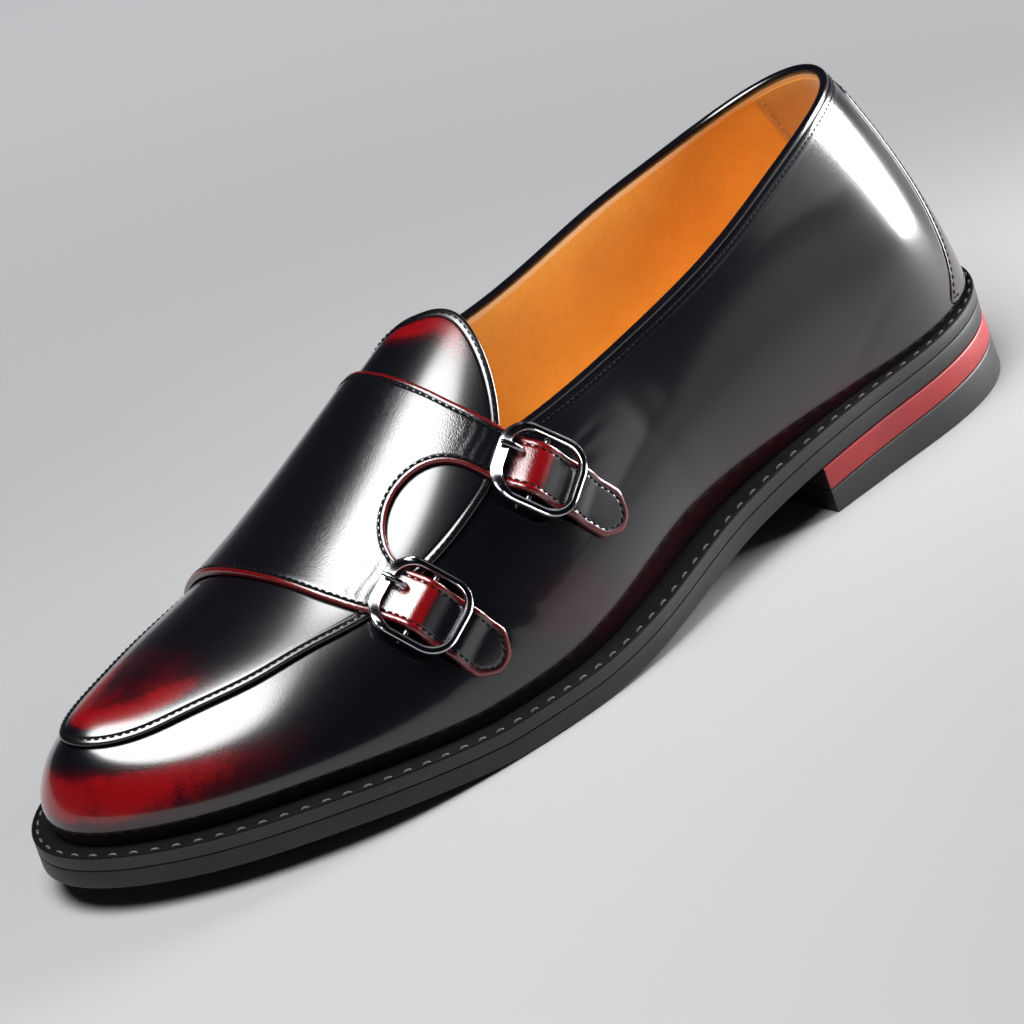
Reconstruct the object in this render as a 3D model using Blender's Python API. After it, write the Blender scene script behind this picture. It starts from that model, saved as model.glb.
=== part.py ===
"""Left double-strap loafer on a stacked heel.

A slip-on with a moccasin apron that runs on as the tongue, a saddle strap whose outer end splits into two
buckled tails, a welt, a leather outsole and a two-layer heel.

Frame: +Z up, toe towards -Y, outer side of the foot towards +X, origin on the floor under the middle.
The last is described in millimetres by stations from the back of the heel (0) to the tip of the toe (288).
Ribs stand on the outline of the foot bottom and lean to a ridge along the top. A point of the skin is named
by a rib and by its girth down from the ridge, positive on the outer side.
"""
import math

import bmesh
import bpy
import numpy as np
from mathutils import Matrix, Vector

MM = 0.001


def table(columns, *rows):
    """Named columns of a short table, as arrays."""
    return {name: np.array(values, float) for name, values in zip(columns.split(), zip(*rows))}


# ---- Driving dimensions, in millimetres -------------------------------------------------------------------
LAST_LENGTH = 288.0
ORIGIN_STATION = 144.6          # station over the frame's origin
ORIGIN_SIDE = 0.38              # sideways place of the frame's origin

# Half-widths of the widest part of each section, from the centre line.
WIDTHS = table("station outer inner",
               (0, 32, 31), (40, 31.5, 32), (80, 34, 30), (110, 36, 28.5), (145, 44, 32),
               (180, 47.5, 41), (205, 46.5, 46.5), (230, 43.5, 45), (255, 37, 40.5), (288, 29, 31.5))
# Height of the ridge above the floor, as it would run without the opening.
RIDGE_HEIGHTS = table("station height",
                      (0, 125), (40, 115), (80, 113), (120, 98.5), (150, 86.5),
                      (180, 70.5), (210, 54.5), (240, 46), (265, 42.5), (288, 42))
# Underside of the outsole: heel seat, arch, tread and toe spring. Below 0 it is cut flat to the floor.
SOLE_LINE = table("station height",
                  (0, 16), (40, 14.5), (80, 12.5), (110, 8), (145, 2), (168, 0),
                  (195, 0), (212, 1.8), (240, 5), (265, 6), (288, 7.5))
# Swing of the last: the centre line bends inwards at the toe, the ridge lies inwards of the middle.
CENTRE_LINE = table("station side", (0, 0), (145, 0.5), (205, 0), (255, -2), (288, -5.5))
RIDGE_LINE = table("station side", (45, -1), (100, -2), (150, -4), (200, -3), (265, -3))
# Form of a rib: rise (how square its shoulder is), fullness (how round its crown is), tuck (how far it
# turns under at the welt) and rim (how far the sole stands out beyond the foot).
RIB_FORM = table("station rise fullness tuck rim",
                 (0, 1.1, 1.85, 0.01, 1.2), (60, 2.0, 2.0, 0.07, 1.3), (120, 1.7, 2.0, 0.11, 2.7),
                 (170, 1.7, 2.1, 0.06, 3.4), (230, 1.55, 2.15, 0.08, 3.6), (288, 1.9, 2.3, 0.10, 3.6))
# Height of the collar above the floor.
COLLAR = table("station outer inner", (20, 90, 90), (40, 87, 83), (80, 76, 77.5), (120, 66.5, 73), (150, 63.5, 72))
# Half-girth of the apron, from the ridge to its seam.
APRON = table("station girth",
              (169, 43), (184, 42.4), (193, 40.8), (212, 36), (229, 30.3),
              (243, 27), (263, 21), (275, 18), (288, 13))

HEEL_ROUND = 49.0               # length of the heel's round end
HEEL_ROUND_POWER = 2.6
TOE_ROUND = 68.0                # length of the toe's round end
TOE_ROUND_POWER = 3.0
RIDGE_START = 45.0              # station where the ridge begins over the heel
RIDGE_END = 266.0               # station where the ridge ends over the toe
TUCK_RISE = 0.35                # share of a rib's height that turns under
SQUARE_STATION = 193.0          # here a rib stands square across; behind it overlays use square sections

GAP = 0.3                       # clearance between neighbouring pieces
WALL = 2.2                      # upper leather and its lining
LASTED_RUN = 0.4                # lasted edge of the upper above the welt, along a rib
OUTSOLE_THICKNESS = 4.7
WELT_THICKNESS = 3.7
SOLE_THICKNESS = OUTSOLE_THICKNESS + GAP + WELT_THICKNESS
INSOLE_PROUD = 1.2              # insole above the top of the welt
INSOLE_INSET = 3.1              # insole edge inside the lasted edge of the upper
WELT_INSET = 2.6                # inner edge of the welt inside the lasted edge of the upper
HEEL_BREAST = 78.0              # station of the front face of the heel
LIFT_THICKNESS = 6.1
HEEL_FLARE = 1.2 / 16           # backward slope of the heel's back
THROAT_BACK = 151.0             # the opening narrows from here
THROAT_FRONT = 159.0            # and closes on the ridge here, under the tongue

APRON_LIFT = 0.35
APRON_THICKNESS = 1.2
TONGUE_TOP = 145.7              # station of the tongue's top edge
TONGUE_LIFT = 0.5               # of the tongue over the throat, which turns sharply there
TONGUE_ROOT = 168.0             # station where the tongue joins the apron
TONGUE_MIDDLE = 11.0            # girth of the middle of the tongue's top
TONGUE_POWER = 1.62             # roundness of the tongue's outer edge
# Inner edge of the tongue, from its top down to the apron's seam.
TONGUE_INNER = table("station girth",
                     (145.7, 11), (146.4, 8), (149, 3.3), (152, -1.2), (155, -5.5),
                     (158, -13), (161, -23), (165, -34), (169, -43))
STAY_LIFT = 0.35
STAY_THICKNESS = 0.9
STAY_HALF_TURN = math.radians(22)
STAY_TOP_BELOW_COLLAR = 4.0

STRAP_THICKNESS = 1.4
STRAP_OVER_APRON = APRON_LIFT + APRON_THICKNESS + 0.45
STRAP_ON_WALL = 0.4
STRAP_FOOT = 4.0                # inner end of the saddle above the welt
HUMP_HEIGHT = 2.3               # rise of a tail over the buckle's centre bar
HUMP_REACH = 7.2                # half-length of that hump
HELD_REACH = 11.5               # the buckle keeps the tail off the wall up to here
# Edges of the saddle by girth (negative girth is the inner side).
SADDLE = table("girth back front",
               (-72, 158, 213), (-45, 164.5, 217.5), (-20, 167.3, 220.3), (0, 166.8, 219.9),
               (12, 165.3, 218), (23.5, 163, 215.2))
# The two necks between the body of the saddle and its tails, edge by edge.
UPPER_NECK = table("back back_girth front front_girth",
                   (163, 23.5, 185.3, 24.2), (161.5, 27.8, 178.9, 26.1),
                   (160.2, 31.6, 174, 29.8), (158.9, 34.6, 170.6, 35))
LOWER_NECK = table("back back_girth front front_girth",
                   (185.3, 24.2, 215.2, 23.5), (190.8, 25.2, 213.6, 27.5),
                   (194.6, 28.3, 211.9, 31.5), (196.1, 30.8, 210.3, 34.8))
# Tails: place of the centre bar, lean of strap and buckle towards the heel in degrees, width, and reach
# from the centre bar back to the neck and on to the corners of the tip.
TAILS = {
    "upper": dict(station=157.3, girth=49.7, lean=36, width=12.8, neck=10.5, reach=22.5),
    "lower": dict(station=199.2, girth=44.8, lean=25.5, width=13.6, neck=10.0, reach=20.0),
}
TIP_LENGTH = 4.7
TIP_WIDTH_SHARE = 0.35

BUCKLE_LENGTH = 23.0            # along the strap
BUCKLE_WIDTH = 20.4             # across the strap
BUCKLE_CORNER = 7.2
BUCKLE_WIDE_BAR = 2.8           # bar nearest the ridge
BUCKLE_SIDE_BAR = 2.0
BUCKLE_DEPTH = 1.7
BUCKLE_LIFT = 3.3               # underside of the frame above the skin at its centre
CENTRE_BAR_RADIUS = 0.8
CENTRE_BAR_LIFT = 2.9
PRONG_START = 4.4               # from the centre bar towards the ridge
PRONG_END = 11.9
PRONG_HEELWARD = 2.2            # the prong lies this far to the heel side of the strap's middle
PRONG_WIDTH = 1.6
PRONG_DEPTH = 1.1
PRONG_LIFT = BUCKLE_LIFT + BUCKLE_DEPTH + 0.3


# ---- The last ---------------------------------------------------------------------------------------------
def smooth(rows, column, key="station"):
    """Natural cubic curve through a column of a table, straight beyond its ends."""
    xs = rows[key]
    ys = rows[column]
    count = len(xs)
    step = np.diff(xs)
    slope = np.diff(ys) / step
    matrix = np.eye(count)
    right = np.zeros(count)
    for i in range(1, count - 1):
        matrix[i, i - 1:i + 2] = step[i - 1], 2 * (step[i - 1] + step[i]), step[i]
        right[i] = 6 * (slope[i] - slope[i - 1])
    bend = np.linalg.solve(matrix, right)

    def curve(x):
        x = np.asarray(x, float)
        i = np.clip(np.searchsorted(xs, x) - 1, 0, count - 2)
        after = np.clip(x, xs[0], xs[-1]) - xs[i]
        before = step[i] - after
        value = (bend[i] * before ** 3 + bend[i + 1] * after ** 3) / (6 * step[i])
        value = value + (ys[i] / step[i] - bend[i] * step[i] / 6) * before
        value = value + (ys[i + 1] / step[i] - bend[i + 1] * step[i] / 6) * after
        first = slope[0] - step[0] * bend[1] / 6
        last = slope[-1] + step[-1] * bend[-2] / 6
        return value + first * np.minimum(x - xs[0], 0) + last * np.maximum(x - xs[-1], 0)

    return curve


outer_width = smooth(WIDTHS, "outer")
inner_width = smooth(WIDTHS, "inner")
ridge_height = smooth(RIDGE_HEIGHTS, "height")
sole_curve = smooth(SOLE_LINE, "height")
centre_side = smooth(CENTRE_LINE, "side")
ridge_side = smooth(RIDGE_LINE, "side")
rib_rise = smooth(RIB_FORM, "rise")
rib_fullness = smooth(RIB_FORM, "fullness")
rib_tuck = smooth(RIB_FORM, "tuck")
sole_rim = smooth(RIB_FORM, "rim")
collar_outer = smooth(COLLAR, "outer")
collar_inner = smooth(COLLAR, "inner")
apron_girth = smooth(APRON, "girth")
tongue_inner = smooth(TONGUE_INNER, "girth")


def sole_bottom(station):
    return np.maximum(sole_curve(station), 0)


def welt_top(station):
    return sole_bottom(station) + SOLE_THICKNESS


def turn_at(station, side=1):
    """Angle of a rib round the shoe: 0 at the back, 90 degrees outside, 180 at the toe."""
    turn = np.arccos(np.clip(1 - 2 * np.asarray(station, float) / LAST_LENGTH, -1, 1))
    return np.where(np.asarray(side) >= 0, turn, 2 * math.pi - turn)


def foot_outline(turn):
    """Plan of the widest part of the last, as (side, station)."""
    turn = np.asarray(turn, float)
    station = LAST_LENGTH / 2 * (1 - np.cos(turn))
    heel = np.clip(1 - station / HEEL_ROUND, 0, 1)
    toe = np.clip((station - LAST_LENGTH + TOE_ROUND) / TOE_ROUND, 0, 1)
    taper = np.sqrt(1 - heel ** HEEL_ROUND_POWER) * np.sqrt(1 - toe ** TOE_ROUND_POWER)
    half = np.where(np.sin(turn) >= 0, outer_width(station), -inner_width(station))
    return centre_side(station) + half * taper, station


def rib_point(turn, rise):
    """Point of a rib, rise 0 at the welt and 1 on the ridge, as (side, station, height)."""
    turn, rise = np.broadcast_arrays(np.asarray(turn, float), np.asarray(rise, float))
    foot_side, foot_station = foot_outline(turn)
    top_station = RIDGE_START + (RIDGE_END - RIDGE_START) * foot_station / LAST_LENGTH
    top_side = ridge_side(top_station)
    reach = (1 - rise ** rib_rise(foot_station)) ** (1 / rib_fullness(foot_station))
    under = np.clip(1 - rise / TUCK_RISE, 0, 1)
    reach = reach * (1 - rib_tuck(foot_station) * under * under)
    side = top_side + reach * (foot_side - top_side)
    station = top_station + reach * (foot_station - top_station)
    base = welt_top(foot_station)
    return np.stack([side, station, base + rise * (ridge_height(station) - base)], axis=-1)


RISES = 1 - (1 - np.linspace(0, 1, 121)) ** 2


def rib_line(turn):
    """A rib as a fine line from the welt to the ridge, with the girth run from the welt."""
    points = rib_point(np.asarray(turn, float)[..., None], RISES)
    steps = np.linalg.norm(np.diff(points, axis=-2), axis=-1)
    girth = np.concatenate([np.zeros(steps.shape[:-1] + (1,)), np.cumsum(steps, axis=-1)], axis=-1)
    return points, girth


def along_rib(turn, run):
    """Points of ribs at a girth run up from the welt."""
    turn, run = np.broadcast_arrays(np.asarray(turn, float), np.asarray(run, float))
    points, girth = rib_line(turn.ravel())
    wanted = run.ravel()
    found = [[np.interp(w, g, p[:, k]) for k in range(3)] for w, g, p in zip(wanted, girth, points)]
    return np.array(found).reshape(turn.shape + (3,))


def rib_girth(turn):
    """Whole girth of a rib from the welt to the ridge."""
    return rib_line(turn)[1][..., -1]


def fan_point(station, girth):
    """Point of the rib at a station, the girth down from the ridge, positive outside."""
    turn = turn_at(station, np.where(np.asarray(girth) >= 0, 1, -1))
    return along_rib(turn, rib_girth(turn) - np.abs(girth))


def square_point(station, girth):
    """Point of the skin at a true station, the girth down from the ridge."""
    station, girth = np.broadcast_arrays(np.asarray(station, float), np.asarray(girth, float))
    rib = station.copy()
    for _ in range(7):
        rib = rib + 1.1 * (station - fan_point(rib, girth)[..., 1])
    return fan_point(rib, girth)


def overlay_point(station, girth):
    """Square sections behind the ball of the foot, and ribs that fan round the toe in front of it."""
    if station < SQUARE_STATION:
        return square_point(station, girth)
    return fan_point(station, girth)


def place(points):
    """Millimetres on the last to metres in the frame."""
    points = np.asarray(points, float)
    moved = np.stack([points[..., 0] - ORIGIN_SIDE, ORIGIN_STATION - points[..., 1], points[..., 2]], axis=-1)
    return moved * MM


# ---- Objects, meshes and materials ------------------------------------------------------------------------
def material(name, colour, roughness, metallic=0.0):
    made = bpy.data.materials.new(name)
    made.use_nodes = True
    shader = made.node_tree.nodes["Principled BSDF"]
    shader.inputs["Base Color"].default_value = (*colour, 1)
    shader.inputs["Roughness"].default_value = roughness
    shader.inputs["Metallic"].default_value = metallic
    made.diffuse_color = (*colour, 1)
    return made


def add_object(name, bm, finish, smooth_angle=35):
    mesh = bpy.data.meshes.new(name)
    bm.to_mesh(mesh)
    bm.free()
    mesh.materials.append(finish)
    mesh.shade_smooth()
    mesh.set_sharp_from_angle(angle=math.radians(smooth_angle))
    made = bpy.data.objects.new(name, mesh)
    bpy.context.collection.objects.link(made)
    return made


def skin_sheet(strips):
    """One sheet from grids of (points, lifts), joined where they share points and lifted off the last."""
    bm = bmesh.new()
    lift_layer = bm.verts.layers.float.new("lift")
    for points, lifts in strips:
        lifts = np.broadcast_to(lifts, points.shape[:2])
        grid = []
        for line, line_lifts in zip(place(points), lifts):
            row = [bm.verts.new(point) for point in line]
            for vertex, lift in zip(row, line_lifts):
                vertex[lift_layer] = lift * MM
            grid.append(row)
        for one, two in zip(grid, grid[1:]):
            for a, b, c, d in zip(one, one[1:], two[1:], two):
                bm.faces.new((a, b, c, d))
    bmesh.ops.remove_doubles(bm, verts=bm.verts, dist=1e-6)
    bm.normal_update()
    moves = [(vertex, vertex.normal * vertex[lift_layer]) for vertex in bm.verts]
    for vertex, move in moves:
        vertex.co += move
    return bm


def thicken(made, thickness, offset):
    solid = made.modifiers.new("Thickness", 'SOLIDIFY')
    solid.thickness = thickness * MM
    solid.offset = offset
    solid.use_even_offset = True
    solid.use_quality_normals = True


def ring_solid(loops):
    """Closed ring from loops of equal length, each bridged to the next and the last to the first."""
    bm = bmesh.new()
    rings = [[bm.verts.new(point) for point in loop] for loop in loops]
    count = len(rings[0])
    for one, two in zip(rings, rings[1:] + rings[:1]):
        for i in range(count):
            k = (i + 1) % count
            bm.faces.new((one[i], one[k], two[k], two[i]))
    bmesh.ops.recalc_face_normals(bm, faces=bm.faces)
    return bm


def slab_solid(turns, outline, top, bottom):
    """Plate from the back of the heel forwards: outline(turn) in plan, top and bottom by station.

    outline also takes the depth below the plate's top, so that an edge can slope.
    """
    bm = bmesh.new()
    levels = []
    for level in (top, bottom):
        rows = []
        for turn in turns:
            ends = []
            for angle in (turn, 2 * math.pi - turn):
                side, station = outline(angle, level)
                ends.append(bm.verts.new(place((side, station, level(station)))))
            rows.append(ends)
        levels.append(rows)
    upper, lower = levels
    for k in range(len(turns) - 1):
        bm.faces.new((upper[k][0], upper[k + 1][0], upper[k + 1][1], upper[k][1]))
        bm.faces.new((lower[k][0], lower[k][1], lower[k + 1][1], lower[k + 1][0]))
        bm.faces.new((upper[k][0], lower[k][0], lower[k + 1][0], upper[k + 1][0]))
        bm.faces.new((upper[k][1], upper[k + 1][1], lower[k + 1][1], lower[k][1]))
    bm.faces.new((upper[-1][0], lower[-1][0], lower[-1][1], upper[-1][1]))
    bmesh.ops.remove_doubles(bm, verts=bm.verts, dist=1e-6)
    bmesh.ops.dissolve_degenerate(bm, edges=bm.edges, dist=1e-6)
    bmesh.ops.recalc_face_normals(bm, faces=bm.faces)
    return bm


# ---- Sole -------------------------------------------------------------------------------------------------
def edge_outline(turn, out):
    """Outline of the foot moved out square to itself."""
    step = 0.001
    side_a, station_a = foot_outline(turn - step)
    side_b, station_b = foot_outline(turn + step)
    along = np.array([side_b - side_a, station_b - station_a])
    along = along / np.linalg.norm(along, axis=0)
    side, station = foot_outline(turn)
    return side + along[1] * out, station - along[0] * out


def sole_outline(turn, level=None):
    station = foot_outline(turn)[1]
    return edge_outline(turn, sole_rim(station))


def lasted_outline(turn, inset):
    """Line inside the lasted edge of the upper, where it meets the welt."""
    step = 0.001
    before = rib_point(turn - step, 0.0)
    after = rib_point(turn + step, 0.0)
    along = (after - before)[..., :2]
    along = along / np.linalg.norm(along, axis=-1, keepdims=True)
    here = rib_point(turn, 0.0)
    return here[..., 0] - along[..., 1] * inset, here[..., 1] + along[..., 0] * inset


def heel_outline(turn, level):
    """Edge of the sole, sloping out backwards with depth below the heel seat."""
    side, station = sole_outline(turn)
    depth = sole_bottom(station) - level(station)
    return side, station - HEEL_FLARE * depth * np.cos(turn)


def make_outsole(finish):
    turns = np.linspace(0, math.pi, 41)
    bm = slab_solid(turns, sole_outline, lambda s: sole_bottom(s) + OUTSOLE_THICKNESS, sole_bottom)
    return add_object("outsole", bm, finish)


def make_welt(finish):
    turns = np.linspace(0, 2 * math.pi, 72, endpoint=False)
    loops = []
    for outside, raised in ((True, 0), (True, WELT_THICKNESS), (False, WELT_THICKNESS), (False, 0)):
        side, station = sole_outline(turns) if outside else lasted_outline(turns, WELT_INSET)
        height = sole_bottom(station) + OUTSOLE_THICKNESS + GAP + raised
        loops.append(place(np.stack([side, station, height], axis=-1)))
    return add_object("welt", ring_solid(loops), finish)


def make_insole(finish):
    turns = np.linspace(0, math.pi, 33)
    bm = slab_solid(turns, lambda turn, level: lasted_outline(turn, INSOLE_INSET),
                    lambda s: welt_top(s) + INSOLE_PROUD,
                    lambda s: sole_bottom(s) + OUTSOLE_THICKNESS + GAP)
    return add_object("insole", bm, finish)


def make_heel(lift_finish, top_finish):
    turns = np.linspace(0, float(turn_at(HEEL_BREAST)), 15)
    lift_top = lambda s: sole_bottom(s) - GAP
    lift_bottom = lambda s: sole_bottom(s) - GAP - LIFT_THICKNESS
    piece_top = lambda s: sole_bottom(s) - 2 * GAP - LIFT_THICKNESS
    add_object("heel_lift", slab_solid(turns, heel_outline, lift_top, lift_bottom), lift_finish)
    add_object("heel_top_piece", slab_solid(turns, heel_outline, piece_top, np.zeros_like), top_finish)


# ---- Upper ------------------------------------------------------------------------------------------------
def collar_run(turn):
    """Girth from the welt up a rib to the collar."""
    points, girth = rib_line(turn)
    collar = collar_outer if math.sin(turn) >= 0 else collar_inner
    above = points[:, 2] - collar(points[:, 1])
    k = int(np.argmax(above > 0))
    share = above[k - 1] / (above[k - 1] - above[k])
    return girth[k - 1] + share * (girth[k] - girth[k - 1])


def upper_ribs():
    """Half the ribs, back to toe, as (station, share of the throat still open or None behind it)."""
    back_turns = np.linspace(0, float(turn_at(THROAT_BACK)), 17)
    front_turns = np.linspace(float(turn_at(THROAT_FRONT)), math.pi, 17)
    ribs = [(turn, None) for turn in back_turns]
    for k in (1, 2, 3, 4):
        angle = k * math.pi / 10
        station = THROAT_BACK + (THROAT_FRONT - THROAT_BACK) * math.sin(angle)
        ribs.append((float(turn_at(station)), math.cos(angle)))
    return ribs + [(turn, 0.0) for turn in front_turns]


def make_upper(finish):
    rows = 13
    half = upper_ribs()
    mirrored = [(2 * math.pi - turn, share) for turn, share in reversed(half[1:-1])]
    lines = []
    for turn, share in half + mirrored + half[:1]:
        side = 1 if turn <= math.pi else -1
        if share is None:
            top = collar_run(turn)
        else:
            throat = float(turn_at(THROAT_BACK, side))
            open_girth = rib_girth(throat) - collar_run(throat)
            top = rib_girth(turn) - share * open_girth
        lines.append(along_rib(turn, np.linspace(LASTED_RUN, top, rows)))
    made = add_object("upper", skin_sheet([(np.array(lines), 0)]), finish)
    thicken(made, WALL, -1)
    return made


def make_back_stay(finish):
    lines = []
    for share in np.linspace(-1, 1, 9):
        turn = share * STAY_HALF_TURN
        turn_here = turn if turn >= 0 else 2 * math.pi + turn
        top = collar_run(turn_here) - STAY_TOP_BELOW_COLLAR - 7 * abs(share) ** 6
        lines.append(along_rib(turn_here, np.linspace(1.5, top, 10)))
    made = add_object("back_stay", skin_sheet([(np.array(lines), STAY_LIFT)]), finish)
    thicken(made, STAY_THICKNESS, 1)
    return made


def make_apron(finish):
    """Apron and tongue: ribs from the tongue's top round the toe and back, rows from the seam to the middle."""
    widest = float(APRON["station"][0])
    half_girth = float(APRON["girth"][0])
    edge = []
    for angle in np.linspace(0, math.pi / 2, 12)[:-1]:
        back = math.cos(angle) ** (2 / TONGUE_POWER)
        across = math.sin(angle) ** (2 / TONGUE_POWER)
        station = widest - (widest - TONGUE_TOP) * back
        middle = TONGUE_MIDDLE * back
        edge.append((station, middle, TONGUE_MIDDLE + (half_girth - TONGUE_MIDDLE) * across,
                     float(tongue_inner(station))))
    first = math.acos(1 - 2 * widest / LAST_LENGTH)
    for turn in np.linspace(first, math.pi, 15):
        station = LAST_LENGTH / 2 * (1 - math.cos(turn))
        girth = float(apron_girth(station))
        edge.append((station, 0.0, girth, -girth))
    rows = np.linspace(1, 0, 8)
    outer = [overlay_point(station, middle + (girth - middle) * rows) for station, middle, girth, _ in edge]
    inner = [overlay_point(station, middle + (girth - middle) * rows - 1e-6)
             for station, middle, _, girth in reversed(edge[:-1])]
    points = np.array(outer + inner)
    lifts = np.where(points[..., 1] < TONGUE_ROOT, TONGUE_LIFT, APRON_LIFT)
    made = add_object("apron_tongue", skin_sheet([(points, lifts)]), finish)
    thicken(made, APRON_THICKNESS, 1)
    return made


# ---- Saddle strap -----------------------------------------------------------------------------------------
def ease(value):
    value = np.clip(value, 0, 1)
    return value * value * (3 - 2 * value)


def skin_axes(station, girth):
    """Steps of the skin for one more millimetre of station and of girth."""
    ahead = square_point(station + 0.5, girth) - square_point(station - 0.5, girth)
    down = square_point(station, girth + 0.5) - square_point(station, girth - 0.5)
    return ahead, down


def skin_move(station, girth, vector):
    """Station and girth reached by a short move along the skin."""
    ahead, down = skin_axes(station, girth)
    move = np.linalg.lstsq(np.stack([ahead, down], axis=1), vector, rcond=None)[0]
    return station + move[0], girth + move[1]


def unit(vector):
    return vector / np.linalg.norm(vector)


def skin_axes_square(station, girth, lean):
    """Unit vectors off the skin, down a strap and across it towards the toe."""
    ahead, down = skin_axes(station, girth)
    down = unit(down)
    ahead = unit(ahead - ahead.dot(down) * down)
    angle = math.radians(lean)
    along = down * math.cos(angle) - ahead * math.sin(angle)
    across = ahead * math.cos(angle) + down * math.sin(angle)
    return unit(np.cross(down, ahead)), along, across


def lay_band(tail, distances):
    """A straight band laid on the skin: (station, girth, across) at distances past the centre bar."""
    found = {}
    for way in (-1, 1):
        station = tail["station"]
        girth = tail["girth"]
        along = skin_axes_square(station, girth, tail["lean"])[1]
        run = 0.0
        for distance in sorted((d for d in distances if d * way >= 0), key=abs):
            steps = max(1, math.ceil((abs(distance) - run) / 2.5))
            for _ in range(steps):
                stride = (abs(distance) - run) / steps
                station, girth = skin_move(station, girth, along * way * stride)
                normal = skin_axes_square(station, girth, 0)[0]
                along = unit(along - along.dot(normal) * normal)
            run = abs(distance)
            found[distance] = (station, girth, np.cross(normal, along))
    return [found[distance] for distance in distances]


def strap_lift(station, girth, past=None):
    """Underside of the strap: over the apron, down to the wall beside it, and over the centre bars."""
    seam = apron_girth(np.clip(station, APRON["station"][0], LAST_LENGTH))
    cover = ease((seam + 6 - np.abs(girth)) / 5)
    if past is None:
        past = np.full_like(cover, -LAST_LENGTH)
    held = ease((past + HELD_REACH + 5) / 5) * ease((HELD_REACH + 5 - past) / 5)
    lift = STRAP_ON_WALL + (STRAP_OVER_APRON - STRAP_ON_WALL) * np.maximum(cover, held)
    hump = np.cos(np.clip(past / HUMP_REACH, -1, 1) * math.pi / 2) ** 2
    return lift + HUMP_HEIGHT * hump


def tail_grid(neck, tail, columns):
    """Points and lifts of a tail: the neck's rows, the straight band and the pointed tip."""
    rows = [[neck[name][k] for name in ("back", "back_girth", "front", "front_girth")]
            for k in range(len(neck["back"]))]
    past = [-LAST_LENGTH] * len(rows)
    band = np.concatenate([(-tail["neck"],), np.linspace(-HUMP_REACH, HUMP_REACH, 11),
                           np.linspace(HUMP_REACH, tail["reach"], 7)[1:], (tail["reach"] + TIP_LENGTH,)])
    laid = lay_band(tail, band)
    for distance, (station, girth, across) in zip(band, laid):
        share = TIP_WIDTH_SHARE if distance > tail["reach"] else 1
        reach = across * tail["width"] / 2 * share
        rows.append([*skin_move(station, girth, -reach), *skin_move(station, girth, reach)])
        past.append(distance)
    rows = np.array(rows)
    shares = np.linspace(0, 1, columns + 1)
    stations = rows[:, 0:1] + (rows[:, 2:3] - rows[:, 0:1]) * shares
    girths = rows[:, 1:2] + (rows[:, 3:4] - rows[:, 1:2]) * shares
    past = np.array(past)[:, None] + np.zeros_like(stations)
    return square_point(stations, girths), strap_lift(stations, girths, past)


def saddle_body(columns):
    """The saddle from its inner end over the ridge to the split, with the split's own row last."""
    back = smooth(SADDLE, "back", "girth")
    front = smooth(SADDLE, "front", "girth")
    shares = np.linspace(0, 1, 2 * columns + 1)
    inner_end = SADDLE["girth"][0]
    points = []
    lifts = []
    for girth in np.concatenate([np.linspace(inner_end, 0, 13), (6, 12, 18)]):
        stations = back(girth) + (front(girth) - back(girth)) * shares
        girths = np.full_like(stations, girth)
        if girth < 0:
            whole = rib_girth(turn_at(stations, -1)) - STRAP_FOOT
            girths = girth / -inner_end * whole
        points.append(square_point(stations, girths))
        lifts.append(strap_lift(stations, girths))
    split = [(UPPER_NECK["back"][0], UPPER_NECK["back_girth"][0], UPPER_NECK["front"][0],
              UPPER_NECK["front_girth"][0]),
             (LOWER_NECK["back"][0], LOWER_NECK["back_girth"][0], LOWER_NECK["front"][0],
              LOWER_NECK["front_girth"][0])]
    halves = np.linspace(0, 1, columns + 1)
    stations = np.concatenate([row[0] + (row[2] - row[0]) * halves for row in split])
    girths = np.concatenate([row[1] + (row[3] - row[1]) * halves for row in split])
    stations = np.delete(stations, columns)
    girths = np.delete(girths, columns)
    points.append(square_point(stations, girths))
    lifts.append(strap_lift(stations, girths))
    return np.array(points), np.array(lifts)


def make_saddle(finish):
    columns = 4
    strips = [saddle_body(columns),
              tail_grid(UPPER_NECK, TAILS["upper"], columns),
              tail_grid(LOWER_NECK, TAILS["lower"], columns)]
    made = add_object("saddle_strap", skin_sheet(strips), finish)
    thicken(made, STRAP_THICKNESS, 1)
    return made


# ---- Buckles ----------------------------------------------------------------------------------------------
def rounded_rectangle(length, width, radius, shift=0.0, per_corner=6):
    """Plan of a frame: X across the strap, Y along it away from the ridge."""
    points = []
    for corner in range(4):
        centre_x = (width / 2 - radius) * (1, -1, -1, 1)[corner]
        centre_y = (length / 2 - radius) * (1, 1, -1, -1)[corner] + shift
        for k in range(per_corner):
            angle = math.radians(90 * (corner + k / (per_corner - 1)))
            points.append((centre_x + radius * math.cos(angle), centre_y + radius * math.sin(angle)))
    return points


def buckle_matrix(tail):
    """Frame at the centre bar: X towards the toe, Y down the strap, Z off the leather."""
    here = square_point(tail["station"], tail["girth"])
    normal, along, across = skin_axes_square(tail["station"], tail["girth"], tail["lean"])
    axes = [Vector(place(here + axis) - place(here)).normalized() for axis in (across, along, normal)]
    return Matrix.Translation(Vector(place(here))) @ Matrix(axes).transposed().to_4x4()


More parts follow.
